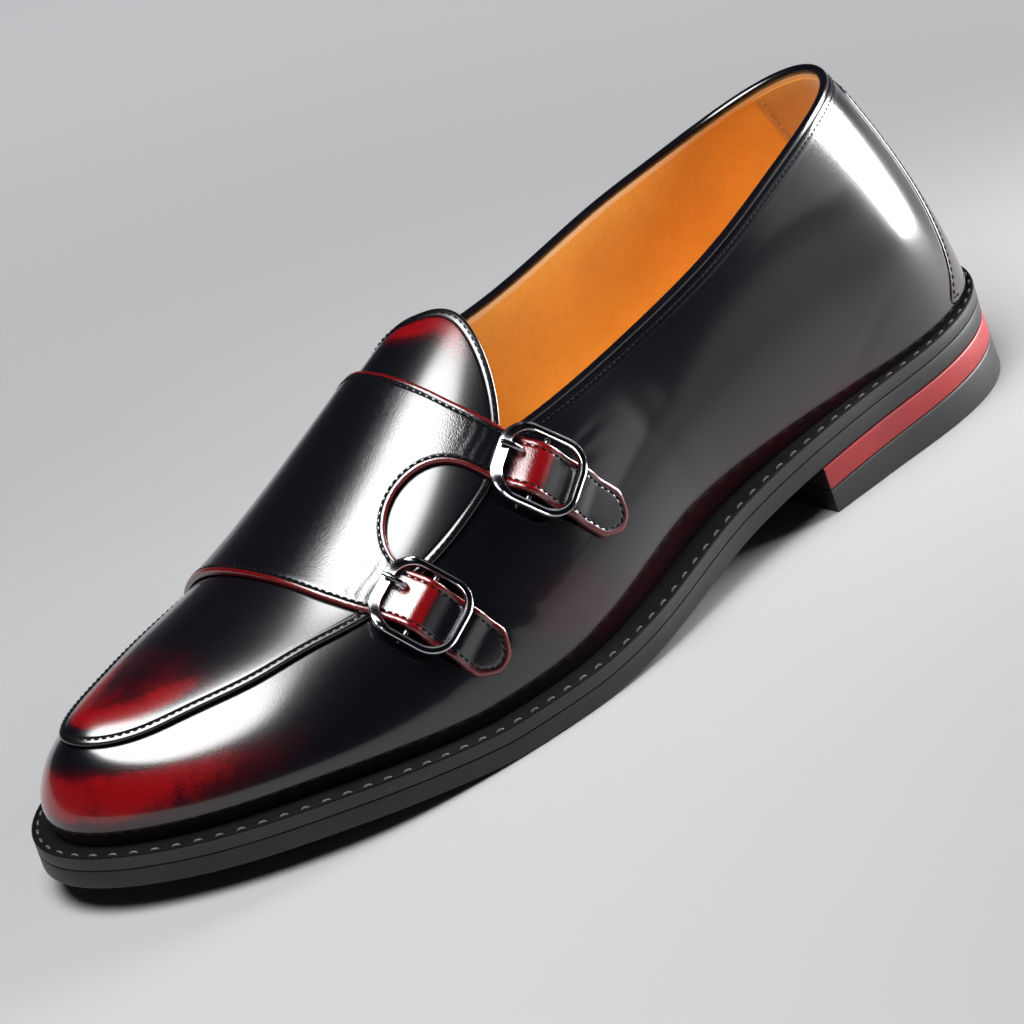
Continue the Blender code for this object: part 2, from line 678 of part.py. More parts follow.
def frame_solid():
    inner_length = BUCKLE_LENGTH - BUCKLE_WIDE_BAR - BUCKLE_SIDE_BAR
    inner_width = BUCKLE_WIDTH - 2 * BUCKLE_SIDE_BAR
    inner_shift = (BUCKLE_WIDE_BAR - BUCKLE_SIDE_BAR) / 2
    round_off = 0.5
    sections = ((0, 0), (0, BUCKLE_DEPTH - round_off), (round_off, BUCKLE_DEPTH))
    loops = []
    for inset, height in sections:
        plan = rounded_rectangle(BUCKLE_LENGTH - 2 * inset, BUCKLE_WIDTH - 2 * inset, BUCKLE_CORNER - inset)
        loops.append([(x * MM, y * MM, (BUCKLE_LIFT + height) * MM) for x, y in plan])
    for inset, height in reversed(sections):
        plan = rounded_rectangle(inner_length + 2 * inset, inner_width + 2 * inset,
                                 BUCKLE_CORNER - BUCKLE_SIDE_BAR + inset, inner_shift)
        loops.append([(x * MM, y * MM, (BUCKLE_LIFT + height) * MM) for x, y in plan])
    return ring_solid(loops)


def make_buckle(name, tail, finish):
    placed = buckle_matrix(tail)
    frame = add_object("buckle_" + name, frame_solid(), finish)
    frame.matrix_world = placed
    bar = bmesh.new()
    turned = Matrix.Translation((0, 0, CENTRE_BAR_LIFT * MM)) @ Matrix.Rotation(math.pi / 2, 4, 'Y')
    bmesh.ops.create_cone(bar, cap_ends=True, segments=10, radius1=CENTRE_BAR_RADIUS * MM,
                          radius2=CENTRE_BAR_RADIUS * MM, matrix=turned,
                          depth=(BUCKLE_WIDTH - BUCKLE_SIDE_BAR) * MM)
    centre_bar = add_object("buckle_bar_" + name, bar, finish)
    centre_bar.matrix_world = placed
    centre_bar.hide_render = True
    centre_bar.display_type = 'WIRE'
    join = frame.modifiers.new("Centre bar", 'BOOLEAN')
    join.operation = 'UNION'
    join.solver = 'EXACT'
    join.object = centre_bar

    prong = bmesh.new()
    size = Matrix.Diagonal((PRONG_WIDTH * MM, (PRONG_END - PRONG_START) * MM, PRONG_DEPTH * MM, 1))
    middle = (-PRONG_HEELWARD * MM, -(PRONG_START + PRONG_END) / 2 * MM, (PRONG_LIFT + PRONG_DEPTH / 2) * MM)
    bmesh.ops.create_cube(prong, size=1, matrix=Matrix.Translation(middle) @ size)
    bmesh.ops.bevel(prong, geom=prong.edges, offset=0.3 * MM, segments=1, affect='EDGES')
    prong_object = add_object("prong_" + name, prong, finish)
    prong_object.matrix_world = placed


def main():
    for old in list(bpy.data.objects):
        bpy.data.objects.remove(old)
    leather = material("burnished_leather", (0.012, 0.011, 0.014), 0.14)
    strap = material("strap_leather", (0.014, 0.011, 0.013), 0.16)
    apron = material("apron_leather", (0.03, 0.006, 0.008), 0.14)
    stay = material("stay_leather", (0.03, 0.006, 0.009), 0.2)
    lining = material("tan_lining", (0.75, 0.33, 0.07), 0.5)
    welt = material("welt", (0.035, 0.032, 0.032), 0.4)
    outsole = material("outsole", (0.018, 0.017, 0.018), 0.5)
    red = material("red_lift", (0.45, 0.03, 0.03), 0.4)
    rubber = material("top_piece", (0.016, 0.015, 0.016), 0.5)
    metal = material("gunmetal", (0.42, 0.42, 0.44), 0.12, 1.0)

    make_outsole(outsole)
    make_welt(welt)
    make_insole(lining)
    make_heel(red, rubber)
    make_upper(leather)
    make_back_stay(stay)
    make_apron(apron)
    make_saddle(strap)
    for name, tail in TAILS.items():
        make_buckle(name, tail, metal)


main()
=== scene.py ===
"""A left loafer with a moccasin apron and a buckled saddle strap: its leather, stitching, sole and metal.

The shoe is laid out on its last in millimetres: stations run from the back of the heel (0) to the tip of the
toe (288), ribs fan round the last from the foot outline to the ridge, and a girth is measured down from the
ridge, positive on the outer side. Every piece is placed by those and moved into the frame at the end.
"""
import math

import bmesh
import bpy
import numpy as np
from bpy.props import FloatProperty, FloatVectorProperty, IntProperty, PointerProperty
from mathutils import Matrix, Vector, geometry


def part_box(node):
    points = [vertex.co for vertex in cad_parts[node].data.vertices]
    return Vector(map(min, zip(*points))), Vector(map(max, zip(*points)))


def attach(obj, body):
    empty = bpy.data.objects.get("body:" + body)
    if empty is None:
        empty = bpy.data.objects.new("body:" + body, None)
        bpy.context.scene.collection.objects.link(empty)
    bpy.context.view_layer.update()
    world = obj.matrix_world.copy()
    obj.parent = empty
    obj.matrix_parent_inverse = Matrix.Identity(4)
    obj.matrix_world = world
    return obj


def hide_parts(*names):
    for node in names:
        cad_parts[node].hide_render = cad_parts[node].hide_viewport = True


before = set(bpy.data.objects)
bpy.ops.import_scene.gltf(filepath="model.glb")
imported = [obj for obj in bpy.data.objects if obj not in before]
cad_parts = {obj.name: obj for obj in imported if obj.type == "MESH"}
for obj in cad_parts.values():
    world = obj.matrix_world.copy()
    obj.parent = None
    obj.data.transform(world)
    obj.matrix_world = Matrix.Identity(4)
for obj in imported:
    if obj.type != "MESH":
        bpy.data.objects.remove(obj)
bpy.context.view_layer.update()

bl_info = {
    "name": "Double Strap Loafer",
    "version": (1, 0, 0),
    "blender": (4, 5, 0),
    "location": "3D View > Sidebar > Loafer",
    "description": "Builds the leather, stitching, sole and metal of a buckled loafer round its solid model",
    "category": "Object",
}

MM = 0.001


def table(columns, *rows):
    """Named columns of a short table, as arrays."""
    return {name: np.array(values, float) for name, values in zip(columns.split(), zip(*rows))}


def rows_of(columns):
    """The rows of a table."""
    return zip(*columns.values())


# ---- Design of the last and its patterns, in millimetres --------------------------------------------------
LAST_LENGTH = 288.0
# Half-widths of the foot outline either side of the centre line.
WIDTHS = table("station outer inner",
               (0, 32, 31), (40, 31.5, 32), (80, 34, 30), (110, 36, 28.5), (145, 44, 32),
               (180, 47.5, 41), (205, 46.5, 46.5), (230, 43.5, 45), (255, 37, 40.5), (288, 29, 31.5))
RIDGE_HEIGHTS = table("station height",
                      (0, 125), (40, 115), (80, 113), (120, 98.5), (150, 86.5),
                      (180, 70.5), (210, 54.5), (240, 46), (265, 42.5), (288, 42))
SOLE_LINE = table("station height",
                  (0, 16), (40, 14.5), (80, 12.5), (110, 8), (145, 2), (168, 0),
                  (195, 0), (212, 1.8), (240, 5), (265, 6), (288, 7.5))
CENTRE_LINE = table("station side", (0, 0), (145, 0.5), (205, 0), (255, -2), (288, -5.5))
RIDGE_LINE = table("station side", (45, -1), (100, -2), (150, -4), (200, -3), (265, -3))
# Powers of each rib's rise and of its reach, how far its foot tucks in, and the sole's rim beyond it.
RIB_FORM = table("station rise fullness tuck rim",
                 (0, 1.1, 1.85, 0.01, 1.2), (60, 2.0, 2.0, 0.07, 1.3), (120, 1.7, 2.0, 0.11, 2.7),
                 (170, 1.7, 2.1, 0.06, 3.4), (230, 1.55, 2.15, 0.08, 3.6), (288, 1.9, 2.3, 0.10, 3.6))
# Height of the collar, and girth from the ridge to the apron's seam.
COLLAR = table("station outer inner", (20, 90, 90), (40, 87, 83), (80, 76, 77.5), (120, 66.5, 73), (150, 63.5, 72))
APRON = table("station girth",
              (169, 43), (184, 42.4), (193, 40.8), (212, 36), (229, 30.3),
              (243, 27), (263, 21), (275, 18), (288, 13))
# Length and power of the rounding of the outline at the heel and the toe.
HEEL_ROUND = 49.0
HEEL_ROUND_POWER = 2.6
TOE_ROUND = 68.0
TOE_ROUND_POWER = 3.0
RIDGE_START = 45.0
RIDGE_END = 266.0
TUCK_RISE = 0.35            # share of a rib's rise below which it tucks in
SQUARE_STATION = 193.0      # pattern lines run square to the foot behind this, along the ribs before it
GAP = 0.3                   # left between the layers of the sole
WALL = 2.2
WALL_LEATHER = 1.15         # thickness of the outer leather of the wall
LINING_INNER = WALL + 0.05
LINING_OUTER = WALL - 0.75
POCKET_INNER = WALL + 0.3
POCKET_OUTER = WALL + 0.1
POCKET_HALF_TURN = 27.0
POCKET_DROP = 1.8
OUTSOLE_THICKNESS = 4.7
WELT_THICKNESS = 3.7
INSOLE_PROUD = 1.2          # top of the insole over the welt
HEEL_BREAST = 78.0
LIFT_THICKNESS = 6.1
HEEL_FLARE = 1.2 / 16       # how far the back of the heel slopes out with depth
THROAT_BACK = 151.0
THROAT_FRONT = 159.0
COLLAR_BAND = 3.4
APRON_LIFT = 0.35
APRON_THICKNESS = 1.2
APRON_SEAM = 1.25
LIP_RISE = 0.2
LIP_WIDTH = 1.7
TONGUE_TOP = 145.7
TONGUE_MIDDLE = 11.0
TONGUE_POWER = 1.62
TONGUE_INNER = table("station girth",
                     (145.7, 11), (146.4, 8), (149, 3.3), (152, -1.2), (155, -5.5),
                     (158, -13), (161, -23), (165, -34), (169, -43))
TONGUE_LINING = 0.8
STRAP_THICKNESS = 1.4
STRAP_SEAM = 1.75
STRAP_OVER_APRON = APRON_LIFT + APRON_THICKNESS + 0.45
STRAP_ON_WALL = 0.4
# The strap's hump over a centre bar, and how far round it the strap is held up.
HUMP_HEIGHT = 2.3
HUMP_REACH = 7.2
HELD_REACH = 11.5
SADDLE = table("girth back front",
               (-72, 158, 213), (-45, 164.5, 217.5), (-20, 167.3, 220.3), (0, 166.8, 219.9),
               (12, 165.3, 218), (23.5, 163, 215.2))
# Outer edges of the strap's two necks and the keyhole between them, in (station, girth).
UPPER_NECK_BACK = ((163, 23.5), (161.5, 27.8), (160.2, 31.6), (158.9, 34.6))
LOWER_NECK_FRONT = ((215.2, 23.5), (213.6, 27.5), (211.9, 31.5), (210.3, 34.8))
KEYHOLE = ((170.6, 35), (174, 29.8), (178.9, 26.1), (185.3, 24.2), (190.8, 25.2), (194.6, 28.3), (196.1, 30.8))
# Where each tail crosses its centre bar, its lean in degrees, and its run before and past the bar.
TAILS = {
    "upper": dict(station=157.3, girth=49.7, lean=36.0, width=12.8, neck=10.5, reach=22.5),
    "lower": dict(station=199.2, girth=44.8, lean=25.5, width=13.6, neck=10.0, reach=20.0),
}
TIP_LENGTH = 4.7
TIP_WIDTH_SHARE = 0.35
STAY = table("run half", (0, 23), (8, 18), (30, 13.5), (62, 10.5))
STAY_CORNER = 5.0
STAY_THICKNESS = 0.9
STAY_SINK = 0.55            # how far the stay is let into the wall
STAY_SEAM = 1.5
BUCKLE_LENGTH = 23.0
BUCKLE_WIDTH = 20.4
BUCKLE_CORNER = 7.2
BUCKLE_WIDE_BAR = 2.8
WIDE_BAR_SLOPE = 1.15       # how far the top of the wide bar falls towards its outer edge
BUCKLE_SIDE_BAR = 2.0
BUCKLE_DEPTH = 1.7
BUCKLE_LIFT = 3.3
CENTRE_BAR_RADIUS = 0.8
CENTRE_BAR_LIFT = 2.9
PRONG_HEELWARD = 2.2
# Section of the frame: share of the bar from its outer to its inner edge, height, and how far the plating is rubbed
# bright, which also paints highlights along the edges.
BUCKLE_SECTION = table("share height rim",
                       (0.06, 0, 0), (0, 0.25, 0.2), (0, 1.1, 0.4), (0.05, 1.5, 0.9), (0.14, 1.7, 1),
                       (0.22, 1.64, 0.5), (0.3, 1.48, 0), (0.5, 1.54, 0), (0.7, 1.48, 0), (0.78, 1.64, 0.5),
                       (0.86, 1.7, 1), (0.95, 1.5, 0.9), (1, 1.1, 0.4), (1, 0.25, 0.2), (0.94, 0, 0))
# Run of the prong: place along the strap from the centre bar, height over the frame's top, and radius.
PRONG = table("along height radius",
              (-4.6, -1.3, 0.6), (-5.4, -0.2, 0.72), (-6.6, 0.62, 0.78), (-8.2, 0.8, 0.8),
              (-9.8, 0.6, 0.76), (-11, 0.3, 0.68), (-11.7, 0.1, 0.5))

# Spacing of the points along seams and outlines.
LINE_SPACING = 0.7
APRON_SPACING = 0.9
STAY_SPACING = 0.8
SOLE_RIBS = 640
SOCK_RIBS = 300

# Even fields of points on the laid pieces, and rings on their tops, in from the edge, close together at the seam.
APRON_FIELD = 0.85
TONGUE_FIELD = 1.6
STRAP_FIELD = 0.8
STAY_FIELD = 1.0
APRON_RINGS = (1.2, 1.6, 1.9, 2.15, 2.45, 2.8)
STRAP_RINGS = (1.05, 1.35, 1.6, 1.75, 1.9, 2.2, 2.5)
STAY_RINGS = (1.2, 1.5, 1.75)
# Rows of the outer wall close under its top edge, and how far down the even rows start.
WALL_ROWS = (0.0, 0.12, 0.3, 0.6, 1.2, 1.7, 1.95, 2.2, 2.45, 2.7, 3.2, 3.7, 4.3, 5.2)
WALL_EVEN_START = 6.4
STAY_ARM = 40.0             # width of the stay's layout for one radian of turn

# Edges of the sole's layers: distance in from the outline and height, for the heel the share of a layer's depth.
WELT_EDGE = table("inset height",
                  (0.14, 0), (0.04, 0.05), (0, 0.16), (0.03, 1.7), (0, 3.2), (0.12, 3.56),
                  (0.38, WELT_THICKNESS), (0.62, WELT_THICKNESS), (0.85, 3.52), (1.05, 3.28))
OUTSOLE_EDGE = table("inset height",
                     (3, OUTSOLE_THICKNESS), (0.16, OUTSOLE_THICKNESS), (0.04, 4.65), (0, 4.54), (0.04, 2.6),
                     (0, 0.8), (0.1, 0.3), (0.3, 0.06), (0.6, 0), (3, 0))
HEEL_EDGE = table("inset share",
                  (2.5, 0), (0.18, 0), (0.05, 0.03), (0, 0.08), (0, 0.5), (0, 0.92), (0.05, 0.97),
                  (0.18, 1), (2.5, 1))
# Rings of the sock: distance in from the lasted edge, height over the insole, distance from the sock's own edge.
SOCK_RINGS = table("inset height edge",
                   (26, 0.15, 9), (18, 0.1, 9), (11, 0.05, 9), (7, 0.2, 9), (4.6, 0.7, 4), (3.4, 1.2, 1.5),
                   (3, 1, 0.5), (3, -2.5, 0))

# Cross-section of a cut leather edge: distance in from the edge and share of the leather's thickness.
CUT_EDGE = ((0.0, 0.0), (0.0, 0.5), (0.06, 0.72), (0.2, 0.9), (0.42, 0.985), (0.7, 1.0))
# A stitch from end to end: share of its length, fatness and how high it arches.
STITCH = table("share fatness arch",
               (-0.5, 0.3, -0.35), (-0.46, 0.68, -0.05), (-0.34, 0.94, 0.65), (-0.12, 1.0, 1.0),
               (0.12, 1.0, 1.0), (0.34, 0.94, 0.65), (0.46, 0.68, -0.05), (0.5, 0.3, -0.35))
# Seams: length and width of a stitch, and how far it stands up.
SEAMS = {
    "heel_pocket_stitches": (1.3, 0.4, 0.16),
    "collar_stitches": (1.25, 0.4, 0.1),
    "apron_stitches": (1.3, 0.42, 0.1),
    "strap_stitches": (1.35, 0.45, 0.12),
    "stay_stitches": (1.3, 0.42, 0.1),
    "welt_stitches": (2.2, 0.7, 0.12),
}
# Soft creases of the outer wall: run up from the welt, half-length, half-width, lean in degrees.
CREASES = table("station run length width lean depth",
                (176, 22, 12, 1.8, 70, 0.22), (169, 19, 13, 1.6, 78, 0.18), (183, 17, 10, 1.5, 62, 0.14),
                (146, 41, 9, 1.5, 20, 0.2), (139, 44, 8, 1.4, 14, 0.14), (206, 19, 9, 1.6, 100, 0.12),
                (118, 26, 16, 2.6, 82, 0.12), (48, 12, 12, 2.5, 160, 0.1))


# ---- The last ---------------------------------------------------------------------------------------------
def smooth(rows, column, key="station"):
    """Natural cubic curve through a column of a table, straight beyond its ends."""
    xs, ys = rows[key], rows[column]
    count = len(xs)
    step = np.diff(xs)
    slope = np.diff(ys) / step
    matrix = np.eye(count)
    right = np.zeros(count)
    for i in range(1, count - 1):
        matrix[i, i - 1:i + 2] = step[i - 1], 2 * (step[i - 1] + step[i]), step[i]
        right[i] = 6 * (slope[i] - slope[i - 1])
    bend = np.linalg.solve(matrix, right)
    first = slope[0] - step[0] * bend[1] / 6
    last = slope[-1] + step[-1] * bend[-2] / 6

    def curve(x):
        x = np.asarray(x, float)
        i = np.clip(np.searchsorted(xs, x) - 1, 0, count - 2)
        after = np.clip(x, xs[0], xs[-1]) - xs[i]
        before = step[i] - after
        value = (bend[i] * before ** 3 + bend[i + 1] * after ** 3) / (6 * step[i])
        value = value + (ys[i] / step[i] - bend[i] * step[i] / 6) * before
        value = value + (ys[i + 1] / step[i] - bend[i + 1] * step[i] / 6) * after
        return value + first * np.minimum(x - xs[0], 0) + last * np.maximum(x - xs[-1], 0)

    return curve


outer_width, inner_width = smooth(WIDTHS, "outer"), smooth(WIDTHS, "inner")
ridge_height, ridge_side = smooth(RIDGE_HEIGHTS, "height"), smooth(RIDGE_LINE, "side")
sole_curve, centre_side = smooth(SOLE_LINE, "height"), smooth(CENTRE_LINE, "side")
rib_rise, rib_fullness, rib_tuck, sole_rim = (smooth(RIB_FORM, name) for name in ("rise", "fullness", "tuck", "rim"))
collar_outer, collar_inner = smooth(COLLAR, "outer"), smooth(COLLAR, "inner")
apron_girth, tongue_inner = smooth(APRON, "girth"), smooth(TONGUE_INNER, "girth")
saddle_back, saddle_front = smooth(SADDLE, "back", "girth"), smooth(SADDLE, "front", "girth")


def ease(value):
    value = np.clip(value, 0, 1)
    return value * value * (3 - 2 * value)


def hill(value, middle, width):
    """A bell round a middle."""
    return np.exp(-((value - middle) / width) ** 2)


def unit(vector):
    return vector / np.linalg.norm(vector, axis=-1, keepdims=True)


def sole_bottom(station):
    return np.maximum(sole_curve(station), 0)


def welt_bottom(station):
    return sole_bottom(station) + OUTSOLE_THICKNESS + GAP


def welt_top(station):
    return welt_bottom(station) + WELT_THICKNESS


def turn_at(station, side=1):
    """Angle of a rib round the shoe: 0 at the back, 90 degrees outside, 180 at the toe."""
    turn = np.arccos(np.clip(1 - 2 * np.asarray(station, float) / LAST_LENGTH, -1, 1))
    return np.where(np.asarray(side) >= 0, turn, 2 * math.pi - turn)


def turns_round(count, offset=0.0):
    """Turns all round the last, moved on by a share of a step."""
    return np.linspace(0, 2 * math.pi, count, endpoint=False) + offset * 2 * math.pi / count


def foot_outline(turn):
    """Plan of the widest part of the last, as (side, station)."""
    turn = np.asarray(turn, float)
    station = LAST_LENGTH / 2 * (1 - np.cos(turn))
    heel = np.clip(1 - station / HEEL_ROUND, 0, 1)
    toe = np.clip((station - LAST_LENGTH + TOE_ROUND) / TOE_ROUND, 0, 1)
    taper = np.sqrt(1 - heel ** HEEL_ROUND_POWER) * np.sqrt(1 - toe ** TOE_ROUND_POWER)
    half = np.where(np.sin(turn) >= 0, outer_width(station), -inner_width(station))
    return centre_side(station) + half * taper, station


def ridge_end(turn):
    """Where a rib meets the ridge in plan."""
    station = RIDGE_START + (RIDGE_END - RIDGE_START) * foot_outline(turn)[1] / LAST_LENGTH
    return ridge_side(station), station


def skin_height(station, foot_station, rise):
    """Height of the skin: a share of the way from the welt of its rib up to the ridge."""
    base = welt_top(foot_station)
    return base + rise * (ridge_height(station) - base)


def rib_point(turn, arc):
    """Point of a rib, arc 0 on the ridge and 1 at the welt, as (side, station, height)."""
    turn, arc = np.broadcast_arrays(np.asarray(turn, float), np.asarray(arc, float))
    foot_side, foot_station = foot_outline(turn)
    top_side, top_station = ridge_end(turn)
    swing = np.clip(arc, 0, 1) * math.pi / 2
    rise = np.cos(swing) ** (2 / rib_rise(foot_station))
    reach = np.sin(swing) ** (2 / rib_fullness(foot_station))
    under = np.clip(1 - rise / TUCK_RISE, 0, 1)
    reach = reach * (1 - rib_tuck(foot_station) * under * under)
    side = top_side + reach * (foot_side - top_side)
    station = top_station + reach * (foot_station - top_station)
    return np.stack([side, station, skin_height(station, foot_station, rise)], axis=-1)


def rib_runs(turns):
    """Fine points of ribs and the girth run down each from the ridge."""
    points = rib_point(np.asarray(turns, float)[:, None], ARCS[None])
    steps = np.linalg.norm(np.diff(points, axis=1), axis=-1)
    return points, np.concatenate([np.zeros((len(points), 1)), np.cumsum(steps, axis=1)], axis=1)


TURN_STEPS = 720
SHARE_STEPS = 200
ARCS = np.linspace(0, 1, 241)
RIB_TURNS = np.linspace(0, 2 * math.pi, TURN_STEPS + 1)
RIB_RUNS = rib_runs(RIB_TURNS)[1]
ARC_TABLE = np.array([np.interp(np.linspace(0, run[-1], SHARE_STEPS + 1), run, ARCS) for run in RIB_RUNS])


def rib_girth(turn):
    """Whole girth of a rib from the ridge to the welt."""
    return np.interp(np.mod(turn, 2 * math.pi), RIB_TURNS, RIB_RUNS[:, -1])


def down_rib(turn, girth):
    """Points of ribs at a girth down from the ridge."""
    turn, girth = np.broadcast_arrays(np.mod(turn, 2 * math.pi), np.asarray(girth, float))
    spot = turn / (2 * math.pi) * TURN_STEPS
    i = np.clip(spot.astype(int), 0, TURN_STEPS - 1)
    share = np.clip(girth / rib_girth(turn), 0, 1) * SHARE_STEPS
    j = np.clip(share.astype(int), 0, SHARE_STEPS - 1)
    u, v = spot - i, share - j
    low = ARC_TABLE[i, j] * (1 - v) + ARC_TABLE[i, j + 1] * v
    high = ARC_TABLE[i + 1, j] * (1 - v) + ARC_TABLE[i + 1, j + 1] * v
    return rib_point(turn, low * (1 - u) + high * u)


def fan_point(station, girth):
    """Point of the rib at a station, the girth down from the ridge, positive outside."""
    return down_rib(turn_at(station, np.where(np.asarray(girth) >= 0, 1, -1)), np.abs(girth))


def square_point(station, girth):
    """Point of the skin at a true station, the girth down from the ridge."""
    station, girth = np.broadcast_arrays(np.asarray(station, float), np.asarray(girth, float))
    rib = station.copy()
    for _ in range(8):
        rib = rib + 1.1 * (station - fan_point(rib, girth)[..., 1])
    return fan_point(rib, girth)


def crown_point(side, station):
    """Point of the upper side of the last over a place in plan, its rib found by halving."""
    side, station = np.broadcast_arrays(np.asarray(side, float), np.asarray(station, float))
    tip_side, tip_station = foot_outline(math.pi)
    end_side, end_station = ridge_end(math.pi)
    beyond = (tip_side - end_side) * (station - end_station) - (tip_station - end_station) * (side - end_side)
    outer = np.where(station > end_station, beyond < 0, side >= ridge_side(station))
    low = np.where(outer, 0.0, 2 * math.pi)
    high = np.full(side.shape, math.pi)
    for _ in range(34):
        turn = (low + high) / 2
        foot_side, foot_station = foot_outline(turn)
        top_side, top_station = ridge_end(turn)
        cross = (foot_side - top_side) * (station - top_station) - (foot_station - top_station) * (side - top_side)
        ahead = np.where(outer, cross > 0, cross < 0)
        low = np.where(ahead, turn, low)
        high = np.where(ahead, high, turn)
    reach = np.hypot(side - top_side, station - top_station)
    reach = np.clip(reach / np.hypot(foot_side - top_side, foot_station - top_station), 0, 1)
    rise = np.sqrt(1 - reach ** rib_fullness(foot_station)) ** (2 / rib_rise(foot_station))
    return np.stack([side, station, skin_height(station, foot_station, rise)], axis=-1)


def skin_steps(skin, a, b, step):
    """Moves on a skin as each of its two coordinates steps from one side of a point to the other."""
    return skin(a + step, b) - skin(a - step, b), skin(a, b + step) - skin(a, b - step)


def skin_normal(skin, a, b, step=0.3):
    """Points of a skin and its unit normals, turned away from the middle of the foot."""
    normal = unit(np.cross(*skin_steps(skin, a, b, step)))
    here = skin(a, b)
    middle = np.stack([ridge_side(here[..., 1]), np.clip(here[..., 1], 30, 262),
                       np.full(here.shape[:-1], 22.0)], axis=-1)
    away = np.sum(normal * (here - middle), axis=-1, keepdims=True)
    return here, np.where(away < 0, -normal, normal)


def skin_shift(skin, a, b, vectors, step=0.3):
    """Coordinates reached by short moves along a skin."""
    along, down = (move / (2 * step) for move in skin_steps(skin, a, b, step))
    aa, ab, bb, va, vb = (np.sum(one * other, axis=-1) for one, other in (
        (along, along), (along, down), (down, down), (vectors, along), (vectors, down)))
    det = aa * bb - ab * ab
    return a + (va * bb - vb * ab) / det, b + (vb * aa - va * ab) / det


def edge_outline(turn, out):
    """Outline of the foot moved out square to itself."""
    step = 0.001
    along = np.subtract(foot_outline(turn + step), foot_outline(turn - step))
    along = along / np.linalg.norm(along, axis=0)
    side, station = foot_outline(turn)
    return side + along[1] * out, station - along[0] * out


# The frame's outsole fixes where the last stands.
SOLE_LOW, SOLE_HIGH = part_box("outsole")
RIM_SIDES = edge_outline(RIB_TURNS, sole_rim(foot_outline(RIB_TURNS)[1]))[0]
ORIGIN_STATION = SOLE_HIGH.y / MM - float(sole_rim(0))
ORIGIN_SIDE = (RIM_SIDES.max() + RIM_SIDES.min()) / 2 - (SOLE_LOW.x + SOLE_HIGH.x) / 2 / MM


def place(points):
    """Millimetres on the last to metres in the frame."""
    points = np.asarray(points, float)
    moved = np.stack([points[..., 0] - ORIGIN_SIDE, ORIGIN_STATION - points[..., 1], points[..., 2]], axis=-1)
    return moved * MM


# ---- Curves and meshes ------------------------------------------------------------------------------------
def curve_lengths(points):
    steps = np.linalg.norm(np.diff(points, axis=0), axis=1)
    return np.concatenate([[0], np.cumsum(steps)])


def columns_at(at, lengths, columns):
    """Each column of a run of rows read at lengths along it."""
    return np.stack([np.interp(at, lengths, column) for column in columns.T], axis=-1)


def resample(points, spacing, closed=False):
    """The same line with evenly spaced points."""
    points = np.asarray(points, float)
    if closed:
        points = np.concatenate([points, points[:1]])
    lengths = curve_lengths(points)
    count = max(2, int(round(lengths[-1] / spacing)) + 1)
    line = columns_at(np.linspace(0, lengths[-1], count), lengths, points)
    return line[:-1] if closed else line


def soften(points, reach, spacing, closed=False):
    """A line with its corners rounded over about a reach."""
    line = np.array(points, float)
    for _ in range(max(1, int((reach / spacing) ** 2))):
        if closed:
            line = (np.roll(line, 1, 0) + 2 * line + np.roll(line, -1, 0)) / 4
        else:
            line[1:-1] = (line[:-2] + 2 * line[1:-1] + line[2:]) / 4
    return line


def circle(count):
    """Angles of a round section and its sines and cosines."""
    angles = np.linspace(0, 2 * math.pi, count, endpoint=False)
    return angles, np.cos(angles), np.sin(angles)


def add_object(name, data):
    made = bpy.data.objects.new(name, data)
    bpy.context.collection.objects.link(made)
    return made


def add_piece(name, slot, points, faces, finish, values=None, replaces=(), sharp=60):
    """A finished mesh piece: points in millimetres on the last, with the piece's named surface values."""
    mesh = bpy.data.meshes.new(name)
    mesh.from_pydata(place(points).tolist(), [], faces)
    for key, column in (values or {}).items():
        mesh.attributes.new(key, 'FLOAT', 'POINT').data.foreach_set("value", np.asarray(column, np.float32))
    bm = bmesh.new()
    bm.from_mesh(mesh)
    bmesh.ops.remove_doubles(bm, verts=bm.verts, dist=2e-7)
    bmesh.ops.dissolve_degenerate(bm, edges=bm.edges, dist=1e-7)
    bmesh.ops.recalc_face_normals(bm, faces=bm.faces)
    bm.to_mesh(mesh)
    bm.free()
    mesh.shade_smooth()
    mesh.set_sharp_from_angle(angle=math.radians(sharp))
    for one in finish.split():
        mesh.materials.append(bpy.data.materials[one])
    made = add_object(name, mesh)
    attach(made, "root")
    if replaces:
        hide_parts(*replaces)
    return made


def grid_faces(rows, columns, close_rows=False):
    """Quads of a grid of points laid row by row, each row a closed loop."""
    i = np.arange(rows if close_rows else rows - 1)[:, None]
    j = np.arange(columns)[None]
    i2 = (i + 1) % rows
    j2 = (j + 1) % columns
    quads = (i * columns + j, i2 * columns + j, i2 * columns + j2, i * columns + j2)
    return np.stack(np.broadcast_arrays(*quads), axis=-1).reshape(-1, 4).tolist()


def loft(sections, close_path=False):
    """Closed sections of equal count joined along a path: (points, faces)."""
    sections = np.asarray(sections, float)
    rows, columns = sections.shape[:2]
    faces = grid_faces(rows, columns, close_path)
    if not close_path:
        faces += [list(range(columns))[::-1], list(range((rows - 1) * columns, rows * columns))]
    return sections.reshape(-1, 3), faces


def plate(loops):
    """A plate from loops of its edge, first to last; the first and last are filled across, side to side."""
    loops = np.asarray(loops, float)
    levels, count = loops.shape[:2]
    faces = grid_faces(levels, count)
    for start in (0, (levels - 1) * count):
        for i in range(count // 2 - 1):
            faces.append([start + i, start + i + 1, start + (count - 2 - i) % count, start + (count - 1 - i) % count])
    return loops.reshape(-1, 3), faces


def sheet_normals(points, ahead):
    """Normals of a sheet of points laid out as (turn, down)."""
    normals = np.cross(np.gradient(points, axis=1), ahead)
    return normals / np.maximum(np.linalg.norm(normals, axis=-1, keepdims=True), 1e-9)


def ring_steps(points):
    """From each point's neighbour on one side to the other, round a closed ring."""
    return np.roll(points, -1, 0) - np.roll(points, 1, 0)


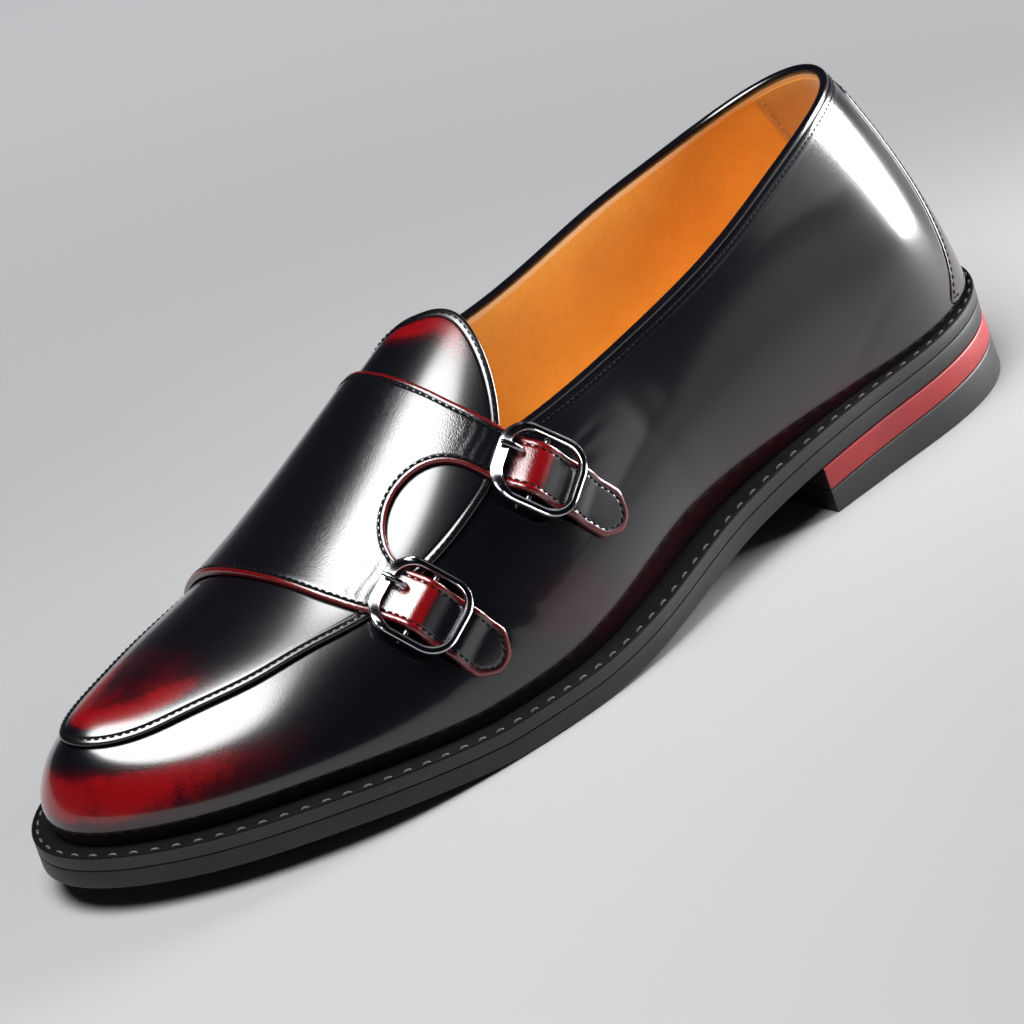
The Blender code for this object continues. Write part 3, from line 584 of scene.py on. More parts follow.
def inside(points, outline):
    """Which plan points lie inside a closed outline."""
    x, y = points[:, :1], points[:, 1:2]
    x1, y1 = outline.T
    x2, y2 = np.roll(outline, -1, 0).T
    with np.errstate(divide="ignore", invalid="ignore"):
        at = x1 + (y - y1) * (x2 - x1) / (y2 - y1)
    return np.sum(((y1 > y) != (y2 > y)) & (x < at), axis=1) % 2 == 1


def nearest(points, line):
    """Distance from each point to the nearest point of a dense line, a block of points at a time."""
    found = []
    for start in range(0, len(points), 2000):
        apart = points[start:start + 2000, None, :] - line[None, :, :]
        found.append(np.sqrt(np.min(np.sum(apart * apart, axis=-1), axis=1)))
    return np.concatenate(found)


def inset_lines(skin, outline, distances):
    """An outline moved in along the skin by growing distances; its points stay in step and never cross."""
    line = np.array(outline, float)
    made = []
    reached = 0.0
    hand = 0
    for distance in (None, *distances):
        steps = 1 if distance is None else max(0, math.ceil((distance - reached) / 0.2 - 1e-9))
        for _ in range(steps):
            a, b = line.T
            points, normals = skin_normal(skin, a, b)
            tangent = unit(ring_steps(points))
            inwards = np.cross(normals, tangent)
            if not hand:        # a first try tells which way is in
                tried = np.stack(skin_shift(skin, a, b, 0.5 * inwards), axis=1)
                hand = 1 if np.mean(inside(tried, line)) > 0.5 else -1
                continue
            goal = points + hand * inwards * (distance - reached) / steps
            for _ in range(3):
                pull = (np.roll(goal, -1, 0) + np.roll(goal, 1, 0)) / 2 - goal
                slide = np.sum(pull * tangent, axis=1, keepdims=True) * tangent
                goal = goal + 0.5 * slide + 0.2 * (pull - slide)
            line = np.stack(skin_shift(skin, a, b, goal - points), axis=1)
        if distance is not None:
            reached = max(reached, distance)
            made.append(line)
    return made


def overlay(skin, outline, lift, thickness, spacing, edge=CUT_EDGE, flat_rings=(), relief=None):
    """A piece of leather laid on a skin, from its outline in the skin's coordinates.

    Gives points, faces, the points' coordinates on the skin and their distances in from the outline.

    The edge profile and the flat rings (distances in) are rings of points; the field between is filled with an
    even lattice. lift(a, b) is the underside, relief(a, b, inset) adds to the top.
    """
    rings = [(distance, share * thickness) for distance, share in edge]
    rings += [(distance, thickness) for distance in flat_rings]
    lines = inset_lines(skin, outline, [distance for distance, _ in rings])
    core = lines[-1]
    count = len(outline)
    spans = [np.arange(low, high, spacing) for low, high in zip(core.min(0), core.max(0))]
    lattice = np.stack(np.meshgrid(*spans, indexing="ij"), axis=-1).reshape(-1, 2)
    lattice[:, 1] += 0.013 * spacing        # keeps the lattice off the corners of the outline
    lattice = lattice[inside(lattice, core)]
    lattice = lattice[nearest(skin(*lattice.T), skin(*core.T)) > 0.6 * spacing]
    flat = np.concatenate([core, lattice])
    edges = [(i, (i + 1) % count) for i in range(count)]
    vertices, _, triangles, origins = geometry.delaunay_2d_cdt([Vector(p) for p in flat.tolist()], edges, [],
                                                               0, 1e-7, True)[:4]
    if not all(origins):
        raise RuntimeError("an outline crosses itself")
    middles = np.array([np.mean([vertices[k] for k in face], axis=0) for face in triangles])
    triangles = [[origins[k][0] for k in face] for face, keep in zip(triangles, inside(middles, core)) if keep]

    a, b = np.concatenate(lines + [lattice]).T
    heights = np.concatenate([np.full(count, height) for _, height in rings] + [np.full(len(lattice), rings[-1][1])])
    insets = np.concatenate([np.full(count, distance) for distance, _ in rings] +
                            [nearest(skin(*lattice.T), skin(*outline.T))])
    base, normals = skin_normal(skin, a, b)
    under = lift(a, b) if callable(lift) else np.full(len(a), lift)
    added = relief(a, b, insets) if relief else 0
    points = base + normals * (under + heights + np.where(heights > 0, added, 0))[:, None]
    shift = (len(rings) - 1) * count
    # The underside: from the outline straight to the core, then the same field turned over.
    bottom = (base + normals * under[:, None])[shift:]
    below = len(points)
    faces = grid_faces(len(rings), count)
    faces += [[k + shift for k in face] for face in triangles]
    faces += [[i, (i + 1) % count, below + (i + 1) % count, below + i] for i in range(count)]
    faces += [[k + below for k in face[::-1]] for face in triangles]
    coordinates = [np.concatenate([column, column[shift:]]) for column in (a, b)]
    return np.concatenate([points, bottom]), faces, coordinates, np.concatenate([insets, np.full(len(bottom), 9.0)])


def tube(path, normal, radius, flat=1.0):
    """A round or flattened bar along a path, its height measured off a surface's normal."""
    tangent = unit(np.gradient(path, axis=0))
    across = unit(np.cross(tangent, np.broadcast_to(normal, path.shape)))
    up = unit(np.cross(across, tangent))
    _, cosines, sines = circle(14)
    ring = cosines[None, :, None] * across[:, None] + flat * sines[None, :, None] * up[:, None]
    return loft(path[:, None] + ring * np.asarray(radius, float).reshape(-1, 1, 1))


def stitches(path, normals, pitch, length, width, rise, closed=False):
    """A row of separate stitches lying along a path: (points, faces, values)."""
    if closed:
        path = np.concatenate([path, path[:1]])
        normals = np.concatenate([normals, normals[:1]])
    lengths = curve_lengths(path)
    whole = lengths[-1]
    count = max(1, int(round(whole / pitch)))
    pitch = whole / count
    centres = (np.arange(count) + 0.5) * pitch
    centres = centres[centres + length / 2 < whole + (pitch if closed else 0)]
    shares = STITCH["share"]
    at = np.mod(centres[:, None] + shares[None] * length, whole if closed else 1e9)
    spot = columns_at(at, lengths, path)
    normal = unit(columns_at(at, lengths, normals))
    tangent = unit(spot[:, -2:-1] - spot[:, 1:2]) + np.zeros_like(spot)
    across = unit(np.cross(tangent, normal))
    angles, cosines, sines = circle(8)
    centre = spot + normal * (STITCH["arch"] * (rise + width * 0.18))[None, :, None]
    ring = cosines[:, None] * across[:, :, None] + 0.72 * sines[:, None] * normal[:, :, None]
    points = centre[:, :, None] + ring * (STITCH["fatness"] * width / 2)[None, :, None, None]
    one = loft(points[0])[1]
    block = points[0, ..., 0].size
    faces = [[k + n * block for k in face] for n in range(len(points)) for face in one]
    along = np.broadcast_to(((shares + 0.5) * length)[None, :, None], points.shape[:3])
    around = np.broadcast_to((angles / (2 * math.pi))[None, None], points.shape[:3])
    return points.reshape(-1, 3), faces, {"along": along.ravel(), "around": around.ravel()}


def add_stitches(name, slot, path, normals, pitch, thread="dark_thread", closed=False):
    points, faces, values = stitches(path, normals, pitch / MM, *SEAMS[name], closed)
    add_piece(name, slot, points, faces, thread, values)


def join_parts(*parts):
    """Several (points, faces, values) as one; all have the same values."""
    points = []
    faces = []
    for part_points, part_faces, _ in parts:
        start = sum(map(len, points))
        points.append(part_points)
        faces += [[k + start for k in face] for face in part_faces]
    values = {key: np.concatenate([part[2][key] for part in parts]) for key in parts[0][2]}
    return np.concatenate(points), faces, values


# ---- Nodes ------------------------------------------------------------------------------------------------
def fill(tree, socket, value):
    """Sets a socket, or links it to the one that feeds it."""
    if isinstance(value, bpy.types.NodeSocket):
        tree.links.new(value, socket)
    else:
        socket.default_value = (*value, 1) if socket.type == 'RGBA' else value


def add_node(tree, kind, inputs=None, **settings):
    node = tree.nodes.new(kind)
    for key, value in settings.items():
        setattr(node, key, value)
    for key, value in (inputs or {}).items():
        fill(tree, node.inputs[key], value)
    return node


def calc(tree, operation, a, b=0.0, clamp=False):
    return add_node(tree, "ShaderNodeMath", {0: a, 1: b}, operation=operation, use_clamp=clamp).outputs[0]


def mix_colour(tree, share, a, b):
    return add_node(tree, "ShaderNodeMix", {0: share, 6: a, 7: b}, data_type='RGBA').outputs[2]


def remap(tree, value, low, high, to_low=0.0, to_high=1.0):
    inputs = dict(enumerate((value, low, high, to_low, to_high)))
    return add_node(tree, "ShaderNodeMapRange", inputs, interpolation_type='SMOOTHSTEP').outputs[0]


def noise(tree, coordinates, scale, detail=2.0, roughness=0.5):
    """Fractal noise, its scale a socket or the features per millimetre."""
    scale = scale if isinstance(scale, bpy.types.NodeSocket) else scale / MM
    return add_node(tree, "ShaderNodeTexNoise", {"Vector": coordinates, "Scale": scale, "Detail": detail,
                                                 "Roughness": roughness}).outputs["Fac"]


def object_place(tree):
    return add_node(tree, "ShaderNodeTexCoord").outputs["Object"]


def stretched(tree, scale, rotation=(0.0, 0.0, 0.0)):
    """Object coordinates drawn out, for lines and layers."""
    return add_node(tree, "ShaderNodeMapping", {"Vector": object_place(tree), "Rotation": rotation,
                                                "Scale": scale}).outputs[0]


def surface_value(tree, name):
    """One of the values that the pieces carry on their points."""
    return add_node(tree, "ShaderNodeAttribute", attribute_name=name).outputs["Fac"]


def spread(tree, value, amount):
    """A noise centred on nothing, times an amount."""
    return calc(tree, 'MULTIPLY', calc(tree, 'SUBTRACT', value, 0.5), amount)


def new_group(name, **inputs):
    """A shader node group with inputs by name, underscores for spaces: (tree, its inputs)."""
    tree = bpy.data.node_groups.new(name, "ShaderNodeTree")
    for label, default in inputs.items():
        colour = isinstance(default, tuple)
        socket = tree.interface.new_socket(label.replace("_", " "), in_out='INPUT',
                                           socket_type="NodeSocketColor" if colour else "NodeSocketFloat")
        socket.default_value = (*default, 1) if colour else default
    return tree, tree.nodes.new("NodeGroupInput").outputs


def end_group(tree, **outputs):
    for label, socket in outputs.items():
        kind = "NodeSocketColor" if socket.type == 'RGBA' else "NodeSocketFloat"
        tree.interface.new_socket(label, in_out='OUTPUT', socket_type=kind)
    leave = tree.nodes.new("NodeGroupOutput")
    for label, socket in outputs.items():
        tree.links.new(socket, leave.inputs[label])


def feed(tree, node, **inputs):
    """Sets or links a node's inputs by name, underscores for spaces."""
    for key, value in inputs.items():
        fill(tree, node.inputs[key.replace("_", " ")], value)


def place_group(tree, name, **inputs):
    node = add_node(tree, "ShaderNodeGroup", node_tree=bpy.data.node_groups[name])
    feed(tree, node, **inputs)
    return node.outputs


def build_groups():
    """Effects that several finishes share."""
    black = (0.0, 0.0, 0.0)
    tree, given = new_group("Calf Grain", Pebble_Size=0.55, Fine_Share=0.35)
    place_in = object_place(tree)
    scale = calc(tree, 'DIVIDE', 1 / MM, given["Pebble Size"])
    pebble = add_node(tree, "ShaderNodeTexVoronoi", {"Vector": place_in, "Scale": scale}, feature='SMOOTH_F1')
    pebble.inputs["Smoothness"].default_value = 0.6
    fine = noise(tree, place_in, calc(tree, 'MULTIPLY', scale, 2.2), 3.0)
    rough = calc(tree, 'MULTIPLY', fine, given["Fine Share"])
    end_group(tree, Height=calc(tree, 'ADD', calc(tree, 'SUBTRACT', 1.0, pebble.outputs["Distance"]), rough))

    tree, given = new_group("Burnish", Dark=black, Wine=black, Red=black, Rub=0.0, Speckle=0.5)
    place_in = object_place(tree)
    drift = spread(tree, noise(tree, place_in, 0.11, 4.0, 0.65), 1.5)
    speck = spread(tree, noise(tree, place_in, 2.8, 3.0, 0.75), given["Speckle"])
    worn = calc(tree, 'MULTIPLY', given["Rub"], calc(tree, 'ADD', 1.0, calc(tree, 'ADD', drift, speck)))
    wine = mix_colour(tree, remap(tree, worn, 0.03, 0.55), given["Dark"], given["Wine"])
    end_group(tree, Color=mix_colour(tree, remap(tree, worn, 0.4, 1.0), wine, given["Red"]))

    tree, given = new_group("Cut Edge", Surface=black, Paint=black, Width=1.0, Strength=1.0)
    wander = spread(tree, noise(tree, object_place(tree), 0.45), 0.5)
    distance = calc(tree, 'ADD', calc(tree, 'DIVIDE', surface_value(tree, "inset"), given["Width"]), wander)
    painted = calc(tree, 'MULTIPLY', remap(tree, distance, 0.8, 1.15, 1.0, 0.0), given["Strength"], clamp=True)
    end_group(tree, Color=mix_colour(tree, painted, given["Surface"], given["Paint"]))

    tree, given = new_group("Handling Marks", Amount=0.5, Spacing=6.0)
    lines = noise(tree, stretched(tree, (1.0, 0.06, 0.5), (0.4, 0.9, 0.3)),
                  calc(tree, 'DIVIDE', 8 / MM, given["Spacing"]))
    haze = noise(tree, object_place(tree), 0.035, 4.0, 0.6)
    end_group(tree, Mark=calc(tree, 'MULTIPLY', remap(tree, lines, 0.66, 0.74), given["Amount"]),
              Haze=calc(tree, 'MULTIPLY', haze, given["Amount"]))

    tree, given = new_group("Twisted Thread", Pitch=0.55)
    along = calc(tree, 'DIVIDE', surface_value(tree, "along"), given["Pitch"])
    phase = calc(tree, 'ADD', along, calc(tree, 'MULTIPLY', surface_value(tree, "around"), 2.0))
    wave = calc(tree, 'SINE', calc(tree, 'MULTIPLY', phase, 2 * math.pi))
    height = calc(tree, 'ADD', calc(tree, 'MULTIPLY', wave, 0.5), 0.5)
    # Painted shade: the thread's colour is darkened in the grooves of the twist.
    end_group(tree, Height=height, Shade=remap(tree, height, 0.0, 0.7, 0.45, 1.0))


def new_finish(name):
    """A new material: (its tree, its shader, object coordinates)."""
    made = bpy.data.materials.new(name)
    made.use_nodes = True
    return made.node_tree, made.node_tree.nodes["Principled BSDF"], object_place(made.node_tree)


def toned(colour, share):
    return [min(1, c * share) for c in colour]


def clouded(tree, noise_value, colour, share):
    """A colour with darker clouds."""
    return mix_colour(tree, remap(tree, noise_value, 0.3, 0.7), toned(colour, share), colour)


def worn_roughness(tree, marks, base, haze, mark=0.0):
    rough = calc(tree, 'ADD', base, calc(tree, 'MULTIPLY', marks["Haze"], haze))
    return calc(tree, 'ADD', rough, calc(tree, 'MULTIPLY', marks["Mark"], mark)) if mark else rough


def bump(tree, height, distance, strength=1.0):
    return add_node(tree, "ShaderNodeBump", {"Height": height, "Distance": distance * MM,
                                             "Strength": strength}).outputs[0]


def polished_leather(name, colours, grain, speckle=1.3, paint=None, width=1.2, shine=0.16,
                     depth=0.012, coat=0.6, coat_rough=0.09, index=1.5):
    """Hand-burnished calf: dark over wine and red, fine grain, a hard clear polish."""
    tree, shader, _ = new_finish(name)
    colour = place_group(tree, "Burnish", Dark=colours.night, Wine=colours.wine, Red=colours.red,
                         Rub=surface_value(tree, "rub"), Speckle=speckle)["Color"]
    if paint is not None:
        colour = place_group(tree, "Cut Edge", Surface=colour, Paint=paint, Width=width,
                             Strength=surface_value(tree, "paint"))["Color"]
    pebble = place_group(tree, "Calf Grain", Pebble_Size=grain)["Height"]
    marks = place_group(tree, "Handling Marks", Amount=0.5, Spacing=7.0)
    feed(tree, shader, Base_Color=colour, Roughness=worn_roughness(tree, marks, shine, 0.10, 0.05), IOR=index,
         Coat_Weight=coat, Coat_Roughness=coat_rough, Coat_IOR=1.6, Normal=bump(tree, pebble, depth, 0.8))


def waxed_thread(name, colour, wax=0.3):
    tree, shader, place_in = new_finish(name)
    twist = place_group(tree, "Twisted Thread", Pitch=0.6)
    tone = mix_colour(tree, noise(tree, place_in, 0.3), toned(colour, 0.7), toned(colour, 1.15))
    # The thread is darker in the grooves of its twist: painted shade.
    tone = mix_colour(tree, twist["Shade"], toned(colour, 0.45), tone)
    feed(tree, shader, Base_Color=tone, Roughness=0.5, Specular_IOR_Level=0.5 * wax, Coat_Weight=wax,
         Coat_Roughness=0.25, Normal=bump(tree, twist["Height"], 0.05, 0.8))


def tan_lining(name, colour, rim, suede=0.0):
    """Smooth vegetable-tanned lining, a little darker where it is rubbed, with a pale cut edge."""
    tree, shader, place_in = new_finish(name)
    fleck = noise(tree, place_in, 0.9, 3.0, 0.6)
    tone = clouded(tree, noise(tree, place_in, 0.03, 4.0, 0.6), colour, 0.86)
    tone = mix_colour(tree, remap(tree, fleck, 0.45, 0.75, 0.0, 0.22), tone, toned(colour, 0.6))
    tone = place_group(tree, "Cut Edge", Surface=tone, Paint=rim, Width=1.5, Strength=0.9)["Color"]
    grain = place_group(tree, "Calf Grain", Pebble_Size=0.45, Fine_Share=0.6)["Height"]
    marks = place_group(tree, "Handling Marks", Amount=0.6, Spacing=9.0)
    feed(tree, shader, Base_Color=tone, Roughness=worn_roughness(tree, marks, 0.46 + 0.3 * suede, 0.16),
         Specular_IOR_Level=0.35, Sheen_Weight=0.15 + 0.5 * suede, Sheen_Roughness=0.5,
         Normal=bump(tree, grain, 0.03, 0.5 + 0.4 * suede))


def sole_edge(name, colour, dusty, scored=0.5, rough=0.36, shine=0.45):
    """Stained and waxed leather edge with fine scored lines along it and rubbed corners."""
    tree, shader, place_in = new_finish(name)
    layers = noise(tree, stretched(tree, (0.05, 0.05, 1.0)), 2.2, 4.0)
    cloud = noise(tree, place_in, 0.05, 4.0, 0.6)
    tone = mix_colour(tree, remap(tree, cloud, 0.3, 0.7, 0.0, 0.6), colour, dusty)
    tone = mix_colour(tree, remap(tree, layers, 0.55, 0.75, 0.0, 0.35), tone, toned(colour, 0.45))
    marks = place_group(tree, "Handling Marks", Amount=1.0, Spacing=9.0)
    tone = mix_colour(tree, calc(tree, 'MULTIPLY', marks["Mark"], 0.25), tone, toned(dusty, 3))
    feed(tree, shader, Base_Color=tone, Roughness=worn_roughness(tree, marks, rough, 0.25),
         Specular_IOR_Level=shine, Normal=bump(tree, layers, 0.05, scored))


def gunmetal(name, colour):
    """Dark plated metal, polished, with hairlines, and edges painted brighter: partly rubbed plating, partly painted
    highlight.
    """
    tree, shader, place_in = new_finish(name)
    marks = place_group(tree, "Handling Marks", Amount=1.0, Spacing=2.5)
    cloud = noise(tree, place_in, 0.25, 3.0)
    # The rim value brightens the metal along the frame's edges and crests: rubbed plating, and painted highlight where
    # the edges catch the light.
    rubbed = calc(tree, 'MULTIPLY', surface_value(tree, "rim"), 0.8)
    tone = mix_colour(tree, rubbed, clouded(tree, cloud, colour, 0.8), (0.75, 0.75, 0.77))
    feed(tree, shader, Base_Color=tone, Metallic=1.0, Roughness=worn_roughness(tree, marks, 0.09, 0.1, 0.12),
         Normal=bump(tree, cloud, 0.02, 0.3))


def painted_lift(name, colour):
    """Matt red-painted heel lift with a fine grain along the edge."""
    tree, shader, place_in = new_finish(name)
    fibre = noise(tree, stretched(tree, (0.12, 0.12, 1.0)), 3.0, 3.0)
    tone = clouded(tree, noise(tree, place_in, 0.06, 4.0, 0.6), colour, 0.78)
    tone = mix_colour(tree, remap(tree, noise(tree, place_in, 2.2), 0.5, 0.8, 0.0, 0.3), tone, toned(colour, 0.5))
    marks = place_group(tree, "Handling Marks", Amount=1.0, Spacing=8.0)
    feed(tree, shader, Base_Color=tone, Roughness=worn_roughness(tree, marks, 0.38, 0.2),
         Specular_IOR_Level=0.4, Normal=bump(tree, fibre, 0.04, 0.5))


def make_finishes(colours):
    build_groups()
    polished_leather("quarter_leather", colours, 0.5)
    polished_leather("apron_calf", colours, 0.5, speckle=1.8, paint=colours.edge, width=0.5, shine=0.2,
                     coat_rough=0.12)
    polished_leather("strap_calf", colours, 0.34, paint=colours.red_edge, width=1.0, shine=0.15, depth=0.042,
                     coat=0.25, coat_rough=0.12, index=1.75)
    polished_leather("stay_calf", colours, 0.5, paint=colours.edge, width=0.4)
    polished_leather("piping_leather", colours, 0.4)
    tan_lining("lining_leather", colours.tan, colours.tan_rim)
    tan_lining("pocket_leather", toned(colours.tan, 0.7), toned(colours.tan, 0.8), 0.5)
    waxed_thread("dark_thread", (0.006, 0.005, 0.006), 0.08)
    waxed_thread("pale_thread", (0.11, 0.1, 0.1), 0.2)
    waxed_thread("tan_thread", (0.62, 0.36, 0.12))
    sole_edge("welt_edge", colours.welt, toned(colours.welt, 1.5))
    sole_edge("welt_channel", toned(colours.welt, 0.2), toned(colours.welt, 0.4), 0.5, 0.65, 0.1)
    sole_edge("outsole_edge", colours.outsole, toned(colours.outsole, 1.5))
    sole_edge("heel_rubber", colours.outsole, toned(colours.outsole, 1.35), 0.3)
    painted_lift("lift_paint", colours.lift)
    gunmetal("buckle_metal", colours.metal)


# ---- Pieces -----------------------------------------------------------------------------------------------
def collar_girth(turns):
    """Girth down each rib from the ridge to the collar."""
    points, runs = rib_runs(turns)
    outer = np.sin(turns) >= 0
    collar = np.where(outer[:, None], collar_outer(points[..., 1]), collar_inner(points[..., 1]))
    above = points[..., 2] - collar
    k = np.argmax(above < 0, axis=1)
    rows = np.arange(len(turns))
    share = above[rows, k - 1] / (above[rows, k - 1] - above[rows, k])
    return runs[rows, k - 1] + share * (runs[rows, k] - runs[rows, k - 1])


THROAT_GIRTHS = {side: float(collar_girth(np.array([float(turn_at(THROAT_BACK, side))]))[0]) for side in (1, -1)}


def throat_turns(angles):
    """Turns of the throat's round front."""
    return turn_at(THROAT_BACK + (THROAT_FRONT - THROAT_BACK) * np.sin(angles))


def wall_top(turns):
    """Girth from the ridge to the top edge of the outer wall: the collar, the throat, a lap under the apron."""
    station = foot_outline(turns)[1]
    lap = np.maximum(apron_girth(np.maximum(station, APRON["station"][0])) - 5.5, 2)
    late = ease((station - THROAT_BACK) / 16)
    outer = THROAT_GIRTHS[1] * (1 - late) + lap * late
    past = np.clip((station - THROAT_BACK) / (THROAT_FRONT - THROAT_BACK), 0, 1)
    inner = THROAT_GIRTHS[-1] * np.sqrt(1 - past ** 2) + lap * ease((station - THROAT_FRONT) / 14)
    front = np.where(np.sin(turns) >= 0, outer, np.maximum(inner, 1))
    return np.where(station < THROAT_BACK, collar_girth(turns), front)


def crease_relief(station, run, side):
    """Height of the soft creases, set further forward on the inner side."""
    total = np.zeros(np.broadcast(station, run).shape)
    for at, up, length, width, lean, depth in rows_of(CREASES):
        cosine, sine = math.cos(math.radians(lean)), math.sin(math.radians(lean))
        ahead = station - at - np.where(side < 0, 6.0, 0.0)
        along = (ahead * cosine + (run - up) * sine) / length
        over = (-ahead * sine + (run - up) * cosine + 1.2 * np.sin(along * 1.7)) / width
        trough = np.exp(-over * over) - 0.55 * np.exp(-((over - 2.1) ** 2) / 1.4)
        total = total - depth * np.exp(-along * along) * trough
    return total


def rub_wall(turns, station, run, side):
    """Where the wall is burnished red: the toe, a haze on the outer quarter, the waist and the heel."""
    from_toe = np.degrees(np.abs(turns - math.pi))
    toe = ease((56 - from_toe) / 32)
    centre = 13.5 - 1.5 * ease((20 - from_toe) / 20) + 3.5 * ease((from_toe - 24) / 20)
    band = toe * (0.25 + 0.75 * ease((run - 1.0) / 8)) * ease((22.5 - run) / 6) * hill(run, centre, 9)
    haze = 0.36 * hill(station, 164, 15) * hill(run, 15, 9) * (side > 0)
    waist = 0.26 * ease((station - 20) / 40) * ease((185 - station) / 50) * hill(run, 4, 8)
    heel = 0.2 * hill(station, 2, 12) * hill(run, 25, 30)
    return np.clip(band * 1.05 + haze + waist + heel, 0, 1.1)


def make_wall(sizes):
    """The outer wall of the upper, from the welt up to the collar and the apron's seam."""
    turns = turns_round(sizes.wall_ribs)[:, None]
    whole = rib_girth(turns)
    top = wall_top(turns[:, 0])[:, None]
    even = top + WALL_EVEN_START + np.linspace(0, 1, 84) * (whole - top - WALL_EVEN_START)
    down = np.concatenate([top + WALL_ROWS, even], axis=1)
    points = down_rib(turns, down)
    normals = sheet_normals(points, ring_steps(points))
    run = whole - down
    side = np.where(np.sin(turns) >= 0, 1, -1)
    station = foot_outline(turns)[1]
    from_top = down - top
    is_collar = ease((THROAT_BACK + 4 - station) / 6)
    turned = 0.1 * ease((COLLAR_BAND - from_top) / 0.5) * is_collar
    groove = -0.08 * hill(from_top, 2.2, 0.35) * is_collar
    relief = turned + groove + crease_relief(station, run, side) * ease((from_top - 6) / 6) * ease(run / 5)
    relief = relief - 0.5 * ease((1.2 - from_top) / 1.2)
    outer = points + normals * relief[..., None]
    foot = outer[:, -1:] + np.array([0, 0, -0.55]) - normals[:, -1:] * 0.2
    rows = np.linspace(0, points.shape[1] - 1, 14).astype(int)[::-1]
    inner = (points - normals * WALL_LEATHER)[:, rows]
    rub = rub_wall(turns, station, run, side)
    rub = np.concatenate([rub, rub[:, -1:], rub[:, rows]], axis=1)
    add_piece("outer_wall", "upper_leather", *loft(np.concatenate([outer, foot, inner], axis=1), close_path=True),
              "quarter_leather", {"rub": rub.ravel()}, ["upper"])


def lining_ribs():
    """Ribs of the lining: turns and girths from the ridge to its top edge, once round from the back."""
    back = np.linspace(0, float(turn_at(THROAT_BACK)), 76)
    angles = np.linspace(0, math.pi / 2, 14)[1:]
    throat = throat_turns(angles)
    front = np.linspace(throat[-1], math.pi, 60)[1:]
    turns = np.concatenate([back, throat, front])
    outer, inner = (
        np.concatenate([collar_girth(ribs), THROAT_GIRTHS[side] * np.cos(angles), np.zeros(len(front))])
        for side, ribs in ((1, back), (-1, 2 * math.pi - back)))
    return np.concatenate([turns, 2 * math.pi - turns[-2:0:-1]]), np.concatenate([outer, inner[-2:0:-1]])


def make_lining(sizes):
    """Tan lining inside the wall, a little slack between the seams."""
    turns, tops = (column[:, None] for column in lining_ribs())
    shares = 1 - (1 - np.linspace(0, 1, 44)) ** 1.15
    down = tops + 0.5 + shares * (rib_girth(turns) - tops - 0.9)
    points = down_rib(turns, down)
    normals = sheet_normals(points, ring_steps(points))
    from_top = down - tops
    slack = 0.18 * np.sin(down * 0.09 + turns * 5) + 0.12 * np.sin(down * 0.17 - turns * 11)
    slack = slack * ease((from_top - 3) / 10)
    inner = points - normals * (LINING_INNER + slack)[..., None]
    rows = np.linspace(0, 43, 12).astype(int)[::-1]
    outer = (points - normals * LINING_OUTER)[:, rows]
    inset = np.concatenate([from_top - 0.4, from_top[:, rows] * 0], axis=1)
    add_piece("lining", "lining", *loft(np.concatenate([inner, outer], axis=1), close_path=True), "lining_leather",
              {"inset": np.maximum(inset, 0).ravel()}, ["upper"])


def make_heel_pocket(sizes):
    """Suede-side pocket inside the heel, sewn to the lining."""
    half = math.radians(POCKET_HALF_TURN)
    columns, rows = 60, 40
    turns = np.linspace(-half, half, columns)[:, None]
    tops = collar_girth(np.mod(turns[:, 0], 2 * math.pi))[:, None] + POCKET_DROP
    down = tops + np.linspace(0, 1, rows) * (rib_girth(turns) - 4 - tops)
    points = down_rib(turns * np.linspace(1.0, 0.72, rows), down)
    normals = sheet_normals(points, np.gradient(points, axis=0))
    from_side = np.minimum(np.arange(columns), columns - 1 - np.arange(columns))
    edge = np.minimum.outer(from_side, np.arange(rows)).clip(0, 2) / 2
    inner = points - normals * (POCKET_INNER + 0.32 * edge)[..., None]
    outer = points - normals * POCKET_OUTER
    inset = np.concatenate([edge, edge[:, ::-1]], axis=1) * 3
    add_piece("heel_pocket", "lining", *loft(np.concatenate([inner, outer[:, ::-1]], axis=1)), "pocket_leather",
              {"inset": inset.ravel() + 0.9})
    name = "heel_pocket_stitches"
    sides = [stitches(inner[k, 1:-2], -normals[k, 1:-2], sizes.stitch_pitch / MM, *SEAMS[name]) for k in (2, -3)]
    points, faces, values = join_parts(*sides)
    add_piece(name, "lining", points, faces, "tan_thread", values)


def collar_path():
    """The top edge from under the upper buckle round the heel and down the inner throat: turns and girths."""
    outer = np.linspace(float(turn_at(THROAT_FRONT - 3)), 0, 300)
    inner = np.linspace(0, float(turn_at(THROAT_BACK)), 300)[1:]
    angles = np.linspace(0, 1.3, 60)[1:]
    turns = np.concatenate([outer, -inner, -throat_turns(angles)])
    girths = np.concatenate([wall_top(outer), collar_girth(2 * math.pi - inner), THROAT_GIRTHS[-1] * np.cos(angles)])
    lengths = curve_lengths(down_rib(turns, girths))
    even = np.linspace(0, lengths[-1], int(lengths[-1] / LINE_SPACING))
    return np.interp(even, lengths, turns), np.interp(even, lengths, girths)


